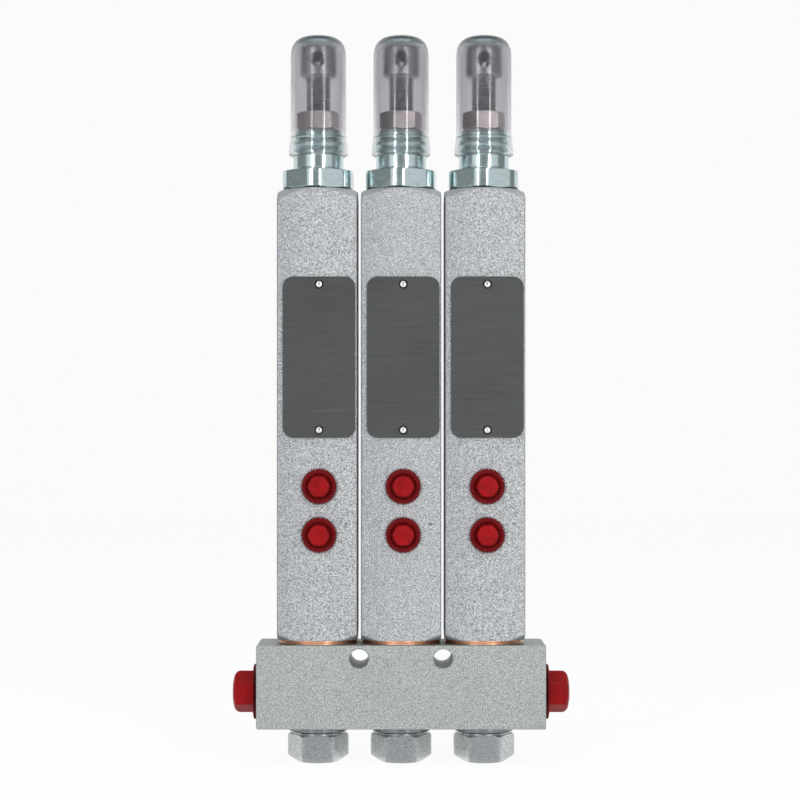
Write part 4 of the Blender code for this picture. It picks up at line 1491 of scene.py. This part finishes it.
@dataclass
class StopPlug:
    """The hexagonal stop plug with its collar and the barbs that grip the cap."""

    screw_hole: float = 5.05
    stem_hole: float = 2.8
    neck_top: float = 211.775
    barbs: int = 3
    barb_pitch: float = 3.2
    barb_length: float = 2.7
    barb_root: float = 8.606
    barb_tip_top: float = 9.106
    barb_tip: float = 9.606
    collar_top: float = 202.175
    collar_foot: float = 197.275
    cone_height: float = 1.2
    round: float = 14.0
    flats: float = 26.2
    foot: float = 189.275
    shank: float = 10.0
    end: float = 175.275
    floor_top: float = 180.275
    corner_at: float = math.radians(-95.4)
    layout: Layout = LAYOUT

    def _barbs(self) -> list[Corner]:
        """The barbs' corners, from the top down.

        Returns:
            The corners with their eases.
        """
        corners: list[Corner] = [(self.screw_hole, self.neck_top)]
        for barb in range(self.barbs):
            top = self.neck_top - barb * self.barb_pitch
            tip = self.barb_tip_top if barb == 0 else self.barb_tip
            foot = top - self.barb_length
            corners += [
                (self.barb_root, top, 0.12),
                (tip - 0.06, foot + 0.9, 0.6),
                (tip, foot, 0.22),
                (self.barb_root, foot - 0.02, 0.15),
            ]
        return corners

    def build(self, number: int) -> None:
        """Make the stop plug and fit it.

        Args:
            number: The injector, counted from 1 at the left.
        """
        prism = Prism(self.flats, 6, 0.35, self.corner_at)
        shoulder = self.collar_foot - self.cone_height
        sole = (self.round - 0.9, self.foot)
        heel = (self.round, self.foot + 0.5)
        upper = rounded(
            self._barbs()
            + [
                (self.barb_root, self.collar_top, 0.15),
                (self.barb_tip, self.collar_top, 0.25),
                (self.barb_tip, self.collar_foot, 0.2),
                (self.barb_tip + 0.5, self.collar_foot - 0.1),
            ]
        )
        cone = rows_between(upper[-1], (self.round, shoulder), 10)
        hexagon = rows_between((self.round, shoulder), heel, 3)
        underside = rows_between(heel, sole, 5)
        lower = [
            sole,
            (self.shank, self.foot),
            (self.shank, self.end),
            (self.stem_hole, self.end),
            (self.stem_hole, self.floor_top),
            (self.screw_hole, self.floor_top),
        ]
        corner_end = prism.corner_at + prism.corner_angle + math.radians(0.8)
        crisp = [corner_end + 2 * prism.half * side for side in range(6)]
        plug = turned(
            f"barbed_stop_plug_{number}",
            upper[:-1] + cone + hexagon + underside + lower,
            sorted(prism.angles(12, 3) + crisp),
            prism.trimmer(self.barb_tip + 0.01, 0.2),
            True,
        )
        self.layout.axis(number).hold(plug)
        fit(
            smoothed(plug, 40.0),
            f"stop_plug_{number}",
            "assembly",
            Slot.BRIGHT_ZINC,
            Finishes.STOP_PLUG,
        )


@dataclass
class LockNut:
    """The hexagonal lock nut of the adjusting screw."""

    bore: float = 5.05
    flats: float = 14.3
    round: float = 8.256
    foot: float = 212.075
    top: float = 218.975
    chamfer: float = 0.6
    corner_at: float = math.radians(-111.0)
    layout: Layout = LAYOUT

    def build(self, number: int) -> None:
        """Make the nut and fit it.

        Args:
            number: The injector, counted from 1 at the left.
        """
        prism = Prism(self.flats, 6, 0.25, self.corner_at)
        end = self.flats / 2 - 0.1
        crown = (end, self.top)
        shoulder = (self.round, self.top - self.chamfer)
        heel = (self.round, self.foot + self.chamfer)
        sole = (end, self.foot)
        points = [(self.bore + 0.4, self.top)]
        points += rows_between(crown, shoulder, 8)
        points += [shoulder, heel]
        points += rows_between(heel, sole, 8)[1:]
        points += [
            sole,
            (self.bore + 0.4, self.foot),
            (self.bore, self.foot + 0.4),
            (self.bore, self.top - 0.4),
        ]
        nut = turned(
            f"hexagon_lock_nut_{number}",
            points,
            prism.angles(10, 3),
            prism.trimmer(end - 0.5, 0.15),
            True,
        )
        self.layout.axis(number).hold(nut)
        fit(
            smoothed(nut, 40.0),
            f"lock_nut_{number}",
            f"nut_{number}",
            Slot.BARE_STEEL,
            Finishes.NUT,
        )


@dataclass
class AdjustingScrew:
    """The hollow adjusting screw with its threaded stem and its sight hole."""

    head: float = 7.0
    head_top: float = 244.275
    head_foot: float = 232.375
    edge: float = 0.7
    stem: float = 4.75
    stem_foot: float = 195.975
    bore: float = 2.8
    bore_end: float = 239.875
    sight: float = 2.95
    sight_drop: float = 5.7
    sight_past: float = 1.4
    thread_pitch: float = 1.25
    thread_depth: float = 0.32
    thread_top: float = 231.2
    thread_foot: float = 208.0
    layout: Layout = LAYOUT

    def build(self, number: int) -> None:
        """Make the screw, cut its sight hole and fit it.

        Args:
            number: The injector, counted from 1 at the left.
        """
        crown = rounded(
            [
                (0.0, self.head_top),
                (self.head - self.edge, self.head_top, 0.2),
                (self.head, self.head_top - self.edge, 0.3),
                (self.head, self.head_foot + self.edge, 0.3),
                (self.head - self.edge, self.head_foot, 0.2),
                (self.stem, self.head_foot, 0.15),
                (self.stem, self.thread_top + 0.4),
            ]
        )
        turns = (self.thread_top - self.thread_foot) / self.thread_pitch
        rows = rows_between(
            (self.stem, self.thread_top), (self.stem, self.thread_foot), int(turns * 8)
        )
        rest = [
            (self.stem, self.thread_foot),
            (self.stem, self.stem_foot + 0.5),
            (self.stem - 0.5, self.stem_foot),
            (self.bore, self.stem_foot),
            (self.bore, self.bore_end),
            (0.0, self.bore_end),
        ]

        def thread(angle: float, radius: float, height: float) -> float:
            """Cut the helical thread into the stem's rows.

            Args:
                angle: Direction from the axis, in radians.
                radius: The row's own radius.
                height: The row's height.

            Returns:
                The radius to use.
            """
            if radius != self.stem:
                return radius
            if not self.thread_foot < height < self.thread_top:
                return radius
            phase = (height / self.thread_pitch - angle / FULL_TURN) % 1.0
            groove = 1.0 - abs(2.0 * phase - 1.0)
            run_out = min((self.thread_top - height) / self.thread_pitch, 1.0)
            return radius - self.thread_depth * groove * run_out

        screw = turned(
            f"threaded_adjusting_screw_{number}",
            crown + rows + rest,
            even_angles(72),
            thread,
        )
        mouth = Station(0.0, -self.head, self.head_top - self.sight_drop, Facing.FRONT)
        depth = self.head + self.bore + self.sight_past
        carved(screw, [drill(self.sight, depth, mouth, 0.25, 48)])
        self.layout.axis(number).hold(screw)
        fit(
            smoothed(screw, 38.0),
            f"adjusting_screw_{number}",
            f"screw_{number}",
            Slot.SCREW,
            Finishes.SCREW,
        )


@dataclass
class Piston:
    """The measuring piston with its long indicator stem."""

    tip: float = 239.575
    stem: float = 2.5
    tip_round: float = 1.4
    top: float = 173.575
    foot: float = 153.575
    radius: float = 7.7
    groove_root: float = 5.2
    groove_foot: float = 161.575
    groove_top: float = 164.575
    spigot: float = 4.05
    spigot_foot: float = 151.575
    layout: Layout = LAYOUT

    def build(self, number: int) -> None:
        """Make the piston and fit it.

        Args:
            number: The injector, counted from 1 at the left.
        """
        points = rounded(
            [
                (0.0, self.tip),
                (self.stem * 0.7, self.tip - 0.35, 0.5),
                (self.stem, self.tip - self.tip_round, 0.4),
                (self.stem, self.top),
                (self.radius, self.top, 0.6),
                (self.radius, self.groove_top, 0.1),
                (self.groove_root, self.groove_top),
                (self.groove_root, self.groove_foot),
                (self.radius, self.groove_foot, 0.1),
                (self.radius, self.foot, 0.4),
                (self.spigot, self.foot),
                (self.spigot, self.spigot_foot, 0.4),
                (0.0, self.spigot_foot),
            ]
        )
        piston = turned(f"indicator_piston_{number}", points, even_angles(48))
        self.layout.axis(number).hold(piston)
        fit(
            smoothed(piston),
            f"piston_{number}",
            f"plunger_{number}",
            Slot.BARE_STEEL,
            Finishes.BARE_STEEL,
        )


@dataclass
class PistonSpring:
    """The coil spring between its seat and the piston.

    The piston moves with the adjusting screw and by its own stroke. The coil is made
    in two halves: the lower half rides on the assembly and the upper half on the screw.
    """

    wire: float = 0.9
    mean: float = 5.75
    foot: float = 86.875
    top: float = 153.275
    turns: int = 5
    sides: int = 12
    steps_a_turn: int = 40
    screw_travel: float = 8.0
    piston_travel: float = 9.5
    cut: float = 0.02
    layout: Layout = LAYOUT

    def _half(self, name: str, start: float, end: float) -> bpy.types.Object:
        """One half of the coil.

        Args:
            name: Name of the piece.
            start: Where it starts, in turns from the foot.
            end: Where it ends, in turns from the foot.

        Returns:
            The half coil about the axis.
        """
        low, high = self.foot + self.wire, self.top - self.wire
        rise = (high - low) / self.turns
        steps = round((end - start) * self.steps_a_turn)
        shape = bmesh.new()
        rows = []
        for i in range(steps + 1):
            turn = start + (end - start) * i / steps
            angle = FULL_TURN * turn
            outward = Vector((math.cos(angle), math.sin(angle), 0.0))
            tangent = Vector((-math.sin(angle), math.cos(angle), 0.0))
            forward = tangent * FULL_TURN * self.mean + Vector((0, 0, rise))
            upward = outward.cross(forward.normalized())
            centre = outward * self.mean + Vector((0.0, 0.0, low + rise * turn))
            row = []
            for side in even_angles(self.sides):
                around = outward * math.cos(side) + upward * math.sin(side)
                row.append(shape.verts.new((centre + around * self.wire) * MM))
            rows.append(row)
        for before, after in zip(rows, rows[1:]):
            for i in range(self.sides):
                j = (i + 1) % self.sides
                shape.faces.new((before[i], before[j], after[j], after[i]))
        shape.faces.new(rows[0][::-1])
        shape.faces.new(rows[-1])
        return smoothed(shown(name, shape), 50.0)

    def build(self, number: int) -> None:
        """Make both halves, fitting the lower to the assembly and the upper to the
        screw.

        Args:
            number: The injector, counted from 1 at the left.
        """
        place = self.layout.axis(number)
        half = self.turns / 2
        middle = (self.foot + self.top) / 2
        lower = self._half(f"spring_lower_half_{number}", 0.0, half - self.cut)
        upper = self._half(f"spring_upper_half_{number}", half + self.cut, self.turns)
        for piece in (lower, upper):
            place.hold(piece)
        steel = (Slot.BARE_STEEL, Finishes.BARE_STEEL)
        fit(lower, f"spring_{number}", "assembly", *steel)
        fit(upper, None, f"screw_{number}", *steel)
        for piece, joint, anchor, travel in (
            (lower, f"stroke_adjust_{number}", self.foot, self.screw_travel),
            (upper, f"piston_stroke_{number}", middle, self.piston_travel),
        ):
            anchor * MM
            1 - travel / (middle - self.foot)
            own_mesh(piece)


@dataclass
class ClearCap:
    """The clear cap: a domed tube with a flared rim, open below."""

    outer: float = 10.606
    inner: float = 9.406
    rim: float = 11.306
    rim_bore: float = 9.906
    foot: float = 202.175
    top: float = 248.375
    dome: float = 9.2
    roof: float = 1.9
    flare: float = 7.6
    lip: float = 0.6
    rim_height: float = 1.0
    shoulder: float = 209.375
    power: float = 2.0 / 3.0
    layout: Layout = LAYOUT

    def _dome(self, radius: float, rise: float, steps: int) -> list[Point]:
        """Points down a rounded crown, from the axis to its foot.

        Args:
            radius: Radius of the crown's foot.
            rise: Height of the crown.
            steps: How many points below the first.

        Returns:
            The points.
        """
        base = self.top - self.dome
        points = [(0.0, base + rise)]
        for i in range(1, steps + 1):
            angle = math.pi / 2 * (1 - i / steps)
            across = math.cos(angle) ** self.power
            up = max(math.sin(angle), 0.0) ** self.power
            points.append((radius * across, base + rise * up))
        return points

    def build(self, number: int) -> None:
        """Make the cap and fit it.

        Args:
            number: The injector, counted from 1 at the left.
        """
        wall_foot = self.foot + self.flare
        skirt = rounded(
            [
                (self.outer, self.top - self.dome),
                (self.outer, wall_foot, 2.0),
                (self.rim, self.foot + self.lip + self.rim_height, 0.6),
                (self.rim, self.foot + self.lip, 0.3),
                (self.rim - self.lip, self.foot, 0.2),
                (self.rim_bore, self.foot, 0.15),
                (self.rim_bore, self.shoulder, 0.2),
                (self.inner, self.shoulder, 0.2),
                (self.inner, self.top - self.dome),
            ],
            5,
        )
        points = (
            self._dome(self.outer, self.dome, 22)
            + skirt[1:-1]
            + self._dome(self.inner, self.dome - self.roof, 18)[::-1]
        )
        cap = turned(f"clear_push_on_cap_{number}", points, even_angles(96))
        self.layout.axis(number).hold(cap)
        fit(
            smoothed(cap, 50.0),
            f"clear_cap_{number}",
            f"cap_{number}",
            Slot.CLEAR,
            Finishes.CLEAR,
        )


# ---- Foot works ---------------------------------------------------------------------


@dataclass
class AdaptorBolt:
    """The hollow adaptor bolt with its washer, and the copper gasket on the bar."""

    tip: float = 29.575
    shank: float = 6.35
    waist: float = 4.6
    drill_bore: float = 2.5
    gallery_half: float = 5.5
    waist_slope: float = 1.2
    seat: float = -18.275
    face: float = 9.82
    head_top: float = -18.975
    round: float = 11.65
    flats: float = 20.64
    foot: float = -29.675
    end: float = 7.6
    end_slope: float = 33.0
    washer_outer: float = 11.12
    washer_top: float = -16.175
    washer_thick: float = 1.8
    gasket_outer: float = 15.0
    gasket_foot: float = 15.925
    gasket_thick: float = 1.6
    bore: float = 6.65
    layout: Layout = LAYOUT

    def build(self, number: int) -> None:
        """Make the bolt, its washer and the gasket, and fit them.

        Args:
            number: The injector, counted from 1 at the left.
        """
        self._bolt(number)
        self._washer(number)
        self._gasket(number)

    def _bolt(self, number: int) -> None:
        """The bolt itself.

        Args:
            number: The injector, counted from 1 at the left.
        """
        layout = self.layout
        prism = Prism(self.flats, 6, 0.4, 0.0)
        rise = (self.round - self.end) * math.tan(math.radians(self.end_slope))
        shoulder = (self.round, self.foot + rise)
        top = layout.gallery + self.gallery_half
        bottom = layout.gallery - self.gallery_half
        shank = rounded(
            [
                (0.0, bottom),
                (self.drill_bore, bottom),
                (self.drill_bore, self.tip),
                (self.shank - 0.8, self.tip, 0.2),
                (self.shank, self.tip - 0.8, 0.2),
                (self.shank, top + self.waist_slope, 0.4),
                (self.waist, top, 0.4),
                (self.waist, bottom, 0.4),
                (self.shank, bottom - self.waist_slope, 0.4),
                (self.shank, self.seat, 0.1),
                (self.face, self.seat, 0.15),
                (self.face, self.head_top),
                (self.round - 0.6, self.head_top),
            ]
        )
        crown = rows_between(
            (self.round - 0.6, self.head_top), (self.round, self.head_top - 0.6), 6
        )
        side = [(self.round, self.head_top - 0.6)]
        cone = rows_between(shoulder, (self.end, self.foot), 14)
        sole = rounded(
            [cone[-1], (self.end, self.foot, 0.4), (self.end - 2.0, self.foot)]
        )[1:]
        bolt = turned(
            f"hexagon_adaptor_bolt_{number}",
            shank[:-1] + crown + side + cone + sole + [(0.0, self.foot)],
            prism.angles(14, 3),
            prism.trimmer(self.face, 0.3),
        )
        gallery = Station(self.waist + 1.0, 0.0, layout.gallery, Facing.RIGHT)
        cross = drill(1.8, 2 * self.waist + 2.0, gallery, 0.0, 32)
        carved(bolt, [cross])
        layout.axis(number).hold(bolt)
        fit(
            smoothed(bolt, 36.0),
            f"adaptor_bolt_{number}",
            "assembly",
            Slot.BOLT_ZINC,
            Finishes.BOLT,
        )

    def _washer(self, number: int) -> None:
        """The washer under the bar.

        Args:
            number: The injector, counted from 1 at the left.
        """
        foot = self.washer_top - self.washer_thick
        points = rounded(
            [
                (self.bore, self.washer_top),
                (self.washer_outer, self.washer_top, 0.35),
                (self.washer_outer, foot, 0.35),
                (self.bore, foot),
            ]
        )
        washer = turned(
            f"dark_washer_{number}", points, even_angles(96), None, True
        )
        self.layout.axis(number).hold(washer)
        fit(
            smoothed(washer),
            f"bolt_washer_{number}",
            "assembly",
            Slot.WASHER,
            Finishes.WASHER,
        )

    def _gasket(self, number: int) -> None:
        """The folded copper gasket, with a groove round its rim.

        Args:
            number: The injector, counted from 1 at the left.
        """
        foot = self.gasket_foot
        top = foot + self.gasket_thick
        middle = (foot + top) / 2
        points = rounded(
            [
                (self.bore, top),
                (self.gasket_outer, top, 0.4),
                (self.gasket_outer - 0.02, middle + 0.25, 0.15),
                (self.gasket_outer - 0.3, middle, 0.12),
                (self.gasket_outer - 0.02, middle - 0.25, 0.15),
                (self.gasket_outer, foot, 0.4),
                (self.bore, foot),
            ]
        )
        gasket = turned(
            f"folded_copper_gasket_{number}", points, even_angles(96), None, True
        )
        self.layout.axis(number).hold(gasket)
        fit(
            smoothed(gasket),
            f"manifold_gasket_{number}",
            "assembly",
            Slot.COPPER,
            Finishes.COPPER,
        )


# ---- Plugs --------------------------------------------------------------------------


@dataclass(frozen=True)
class RedPlug:
    """A red plastic plug: toothed flange, hexagonal head and hollow tapered shank."""

    shank: float
    length: float
    taper: float
    wall: float
    flange: float
    flange_thick: float
    teeth: int
    tooth: float
    half_flats: float
    corner: float
    pad: float
    head: float
    head_edge: float
    dome: float
    groove: float = 0.42
    groove_width: float = 0.7
    lift: float = 0.3

    def mesh(self, name: str) -> bpy.types.Object:
        """The plug's mesh, with its own +Z out of the hole.

        Args:
            name: Name of the piece.

        Returns:
            The plug, its +Z out of the hole.
        """
        foot = self.lift
        flange_top = foot + self.flange_thick
        head_foot = flange_top + self.pad
        head_top = head_foot + self.head
        radius = self.half_flats + self.corner
        tip = self.shank - self.taper
        hollow = tip - self.wall
        prism = Prism(2 * self.half_flats, 6, 0.35, 0.0)
        edge = self.head_edge
        crown = rounded(
            [
                (0.0, head_top + self.dome),
                (radius * 0.45, head_top + self.dome * 0.8, 0.5),
                (radius * 0.62, head_top + self.dome * 0.5, 0.5),
                (radius - edge, head_top, edge * 0.6),
                (radius, head_top - edge, edge * 0.8),
                (radius, head_foot + 0.5),
            ],
            5,
        )
        points = (
            crown
            + rows_between((radius, head_foot + 0.4), (radius + 0.3, flange_top), 4)
            + rounded(
                [
                    (radius + 0.35, flange_top - self.groove),
                    (radius + self.groove_width, flange_top - self.groove, 0.1),
                    (radius + self.groove_width + 0.3, flange_top, 0.1),
                    (self.flange - self.tooth - 0.1, flange_top, 0.1),
                    (self.flange, flange_top - 0.25, 0.15),
                    (self.flange, foot + 0.15, 0.1),
                    (self.flange - self.tooth - 0.1, foot, 0.1),
                    (self.shank, foot, 0.1),
                    (tip, -self.length, 0.3),
                    (hollow, -self.length, 0.2),
                    (hollow, foot, 0.4),
                    (0.0, foot),
                ]
            )
        )
        limit = self.flange - self.tooth - 0.3

        def form(angle: float, radius_here: float, height: float) -> float:
            """Trim the head to its flats and cut the flange's teeth.

            Args:
                angle: Direction from the axis, in radians.
                radius_here: The row's own radius.
                height: The row's height.

            Returns:
                The radius to use.
            """
            if height >= flange_top - 0.01 and radius_here <= radius + 0.31:
                return eased_min(radius_here, prism.reach(angle), 0.3)
            if radius_here > limit:
                wave = 0.5 - 0.5 * math.cos(angle * self.teeth)
                depth = self.tooth * (1 - (1 - wave) ** 1.6)
                share = (radius_here - limit) / (self.flange - limit)
                return radius_here - depth * share
            return radius_here

        steps = self.teeth * 6
        steps += -steps % 12
        return smoothed(turned(name, points, even_angles(steps), form), 40.0)


OUTLET_PLUG = RedPlug(
    shank=4.4, length=7.0, taper=0.4, wall=1.4, flange=7.0, flange_thick=1.2,
    teeth=40, tooth=0.62, half_flats=3.75, corner=0.20, pad=0.3, head=4.6,
    head_edge=0.4, dome=0.1,
)
INLET_PLUG = RedPlug(
    shank=7.2, length=11.0, taper=0.5, wall=1.7, flange=10.55, flange_thick=0.85,
    teeth=52, tooth=0.50, half_flats=7.05, corner=1.0, pad=0.4, head=6.87,
    head_edge=1.4, dome=0.8, lift=0.88,
)


@dataclass
class Plugs:
    """The red plugs in the outlets and in the bar's ends."""

    layout: Layout = LAYOUT

    def build_outlets(self, number: int) -> None:
        """The two outlet plugs of one injector.

        Args:
            number: The injector, counted from 1 at the left.
        """
        heights = {
            "lower": self.layout.lower_outlet,
            "upper": self.layout.upper_outlet,
        }
        for place, height in heights.items():
            plug = OUTLET_PLUG.mesh(f"serrated_outlet_plug_{place}_{number}")
            self.layout.on_front(number, height).hold(plug)
            node = f"outlet_plug_{place}_{number}"
            fit(plug, node, f"{place}_plug_{number}", Slot.RED, Finishes.RED)

    def build_inlets(self) -> None:
        """The two inlet plugs."""
        layout = self.layout
        ends = (("left", -1, Facing.LEFT), ("right", 1, Facing.RIGHT))
        for place, side, facing in ends:
            plug = INLET_PLUG.mesh(f"serrated_inlet_plug_{place}")
            x = side * layout.bar_length / 2
            Station(x, layout.axis_y, layout.gallery, facing).hold(plug)
            node = f"inlet_plug_{place}"
            fit(plug, node, f"{place}_plug", Slot.RED, Finishes.RED)


@dataclass
class InnerWorks:
    """Finishes of the pieces that stay inside as the frame has them."""

    nodes: Mapping[str, object]

    def dress(self, number: int) -> None:
        """Dress one injector's inner pieces.

        Args:
            number: The injector, counted from 1 at the left.
        """
        finishes = {
            "piston_packing": Finishes.RUBBER,
            "stop_plug_gasket": Finishes.RUBBER,
            "spring_seat": Finishes.BARE_STEEL,
            "slide_valve": Finishes.BARE_STEEL,
        }
        for piece, finish in finishes.items():
            found = self.nodes[f"{piece}_{number}"]
            for slot in found.material_slots:
                slot.material = finish.value.material()
            LOG.info("%s keeps its solid", found.name)


# ---- Studio -------------------------------------------------------------------------


@dataclass(frozen=True)
class SoftBox:
    """A rectangular soft light that looks at the middle of the object."""

    name: str
    azimuth: float
    elevation: float
    distance: float
    width: float
    height: float
    radiance: float
    target: Colour = (0.0, -0.016, 0.11)

    @property
    def power(self) -> float:
        """The light's power, in watts."""
        return self.radiance * math.pi * self.width * self.height

    def hang(self) -> None:
        """Add the light, its azimuth counted from the front towards +X."""
        data = bpy.data.lights.new(self.name, "AREA")
        data.shape = "RECTANGLE"
        data.size, data.size_y = self.width, self.height
        data.energy = self.power
        lamp = bpy.data.objects.new(self.name, data)
        bpy.context.scene.collection.objects.link(lamp)
        turn = math.radians(self.azimuth)
        rise = math.radians(self.elevation)
        away = Vector(
            (
                math.cos(rise) * math.sin(turn),
                -math.cos(rise) * math.cos(turn),
                math.sin(rise),
            )
        )
        lamp.location = Vector(self.target) + away * self.distance
        lamp.rotation_euler = (-away).to_track_quat("-Z", "Y").to_euler()


@dataclass
class Studio:
    """Floor, backdrop, lights and camera."""

    distance: float = 880.0
    eye: float = 94.93
    scale: float = 2.65
    frame: int = 800
    middle_x: float = 401.1
    eye_row: float = 436.0
    sensor: float = 36.0
    paper_width: float = 16.0
    paper_depth: float = 3.0
    paper_height: float = 5.0
    paper_glow: float = 1.05
    paper_share: float = 0.88
    surround: Colour = (0.95, 0.97, 1.0)
    surround_strength: float = 0.30
    layout: Layout = LAYOUT

    def build(self) -> None:
        """Set up the whole studio."""
        self._floor()
        self._world()
        for light in (
            SoftBox("right strip", 25.5, 4.0, 1.4, 0.09, 1.5, 17.0),
            SoftBox("left strip", -27.0, 4.0, 1.4, 0.10, 1.5, 12.0),
            SoftBox("right panel", 50.0, 8.0, 1.5, 0.9, 1.4, 0.45),
            SoftBox("left panel", -44.0, 8.0, 1.5, 0.6, 1.4, 0.60),
            SoftBox("top panel", 10.0, 76.0, 1.2, 0.9, 0.7, 2.2),
        ):
            light.hang()
        self._camera()
        bpy.context.scene.view_settings.view_transform = "Standard"

    def _floor(self) -> None:
        """The pale floor and the backdrop behind it."""
        low = self.layout.floor * MM - 0.0001
        wide = self.paper_width / 2
        near, far, high = -self.paper_depth, self.paper_depth, self.paper_height
        paper = self._paper()
        for name, (y_first, z_first), (y_last, z_last) in (
            ("floor", (near, low), (far, low)),
            ("backdrop", (far, low), (far, high)),
        ):
            corners = (
                (-wide, y_first, z_first),
                (wide, y_first, z_first),
                (wide, y_last, z_last),
                (-wide, y_last, z_last),
            )
            mesh = bpy.data.meshes.new(name)
            mesh.from_pydata([Vector(c) for c in corners], [], [(0, 1, 2, 3)])
            mesh.materials.append(paper)
            sheet = bpy.data.objects.new(name, mesh)
            bpy.context.scene.collection.objects.link(sheet)

    def _paper(self) -> bpy.types.Material:
        """Pale paper that the camera, and metal and glass, see as white.

        Returns:
            The material.
        """
        bench = Bench("studio paper")
        bench.surface(Base_Color=(0.85, 0.85, 0.85), Roughness=0.9)
        path = bench.node("ShaderNodeLightPath").outputs
        seen = Signal(bench, path["Is Camera Ray"])
        seen = seen + Signal(bench, path["Is Transmission Ray"])
        seen = seen + Signal(bench, path["Is Glossy Ray"])
        glow = bench.node(
            "ShaderNodeEmission", {}, {"Color": WHITE, "Strength": self.paper_glow}
        )
        mixed = bench.node(
            "ShaderNodeMixShader",
            {},
            {
                0: (seen > 0.5) * self.paper_share,
                1: bench.shader.outputs[0],
                2: glow.outputs[0],
            },
        )
        bench.feed(bench.output.inputs["Surface"], mixed.outputs[0])
        return bench.material

    def _world(self) -> None:
        """A plain light surround, white to the camera."""
        world = bpy.data.worlds.new("studio surround")
        bpy.context.scene.world = world
        world.use_nodes = True
        world.node_tree.nodes.clear()
        wiring = Wiring(world.node_tree)
        path = wiring.node("ShaderNodeLightPath")
        dim = wiring.node(
            "ShaderNodeBackground",
            {},
            {"Color": self.surround, "Strength": self.surround_strength},
        )
        white = wiring.node("ShaderNodeBackground", {}, {"Color": WHITE})
        mixed = wiring.node(
            "ShaderNodeMixShader",
            {},
            {0: path.outputs["Is Camera Ray"], 1: dim.outputs[0], 2: white.outputs[0]},
        )
        wiring.node("ShaderNodeOutputWorld", {}, {"Surface": mixed.outputs[0]})

    def _camera(self) -> None:
        """A level camera at the photograph's eye height."""
        data = bpy.data.cameras.new("camera")
        data.sensor_width = self.sensor
        data.lens = self.sensor * self.distance * self.scale / self.frame
        data.shift_x = (self.frame / 2 - self.middle_x) / self.frame
        data.shift_y = (self.eye_row - self.frame / 2) / self.frame
        data.clip_start = 0.01
        data.clip_end = 20.0
        camera = bpy.data.objects.new("camera", data)
        bpy.context.scene.collection.objects.link(camera)
        camera.location = (
            0.0,
            (self.layout.body_front - self.distance) * MM,
            self.eye * MM,
        )
        camera.rotation_euler = (math.pi / 2, 0.0, 0.0)
        bpy.context.scene.camera = camera


# ---- Whole object -------------------------------------------------------------------


def main() -> None:
    """Load the frame, dress every piece and set up the studio."""
    logging.basicConfig(level=logging.INFO, format="%(message)s")
    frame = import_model()
    ManifoldBar().build()
    inner = InnerWorks(frame["nodes"])
    for number in (1, 2, 3):
        InjectorBody().build(number)
        NamePlate().build(number)
        StopPlug().build(number)
        LockNut().build(number)
        AdjustingScrew().build(number)
        Piston().build(number)
        PistonSpring().build(number)
        ClearCap().build(number)
        AdaptorBolt().build(number)
        Plugs().build_outlets(number)
        inner.dress(number)
    Plugs().build_inlets()
    Studio().build()


if __name__ == "__main__":
    main()
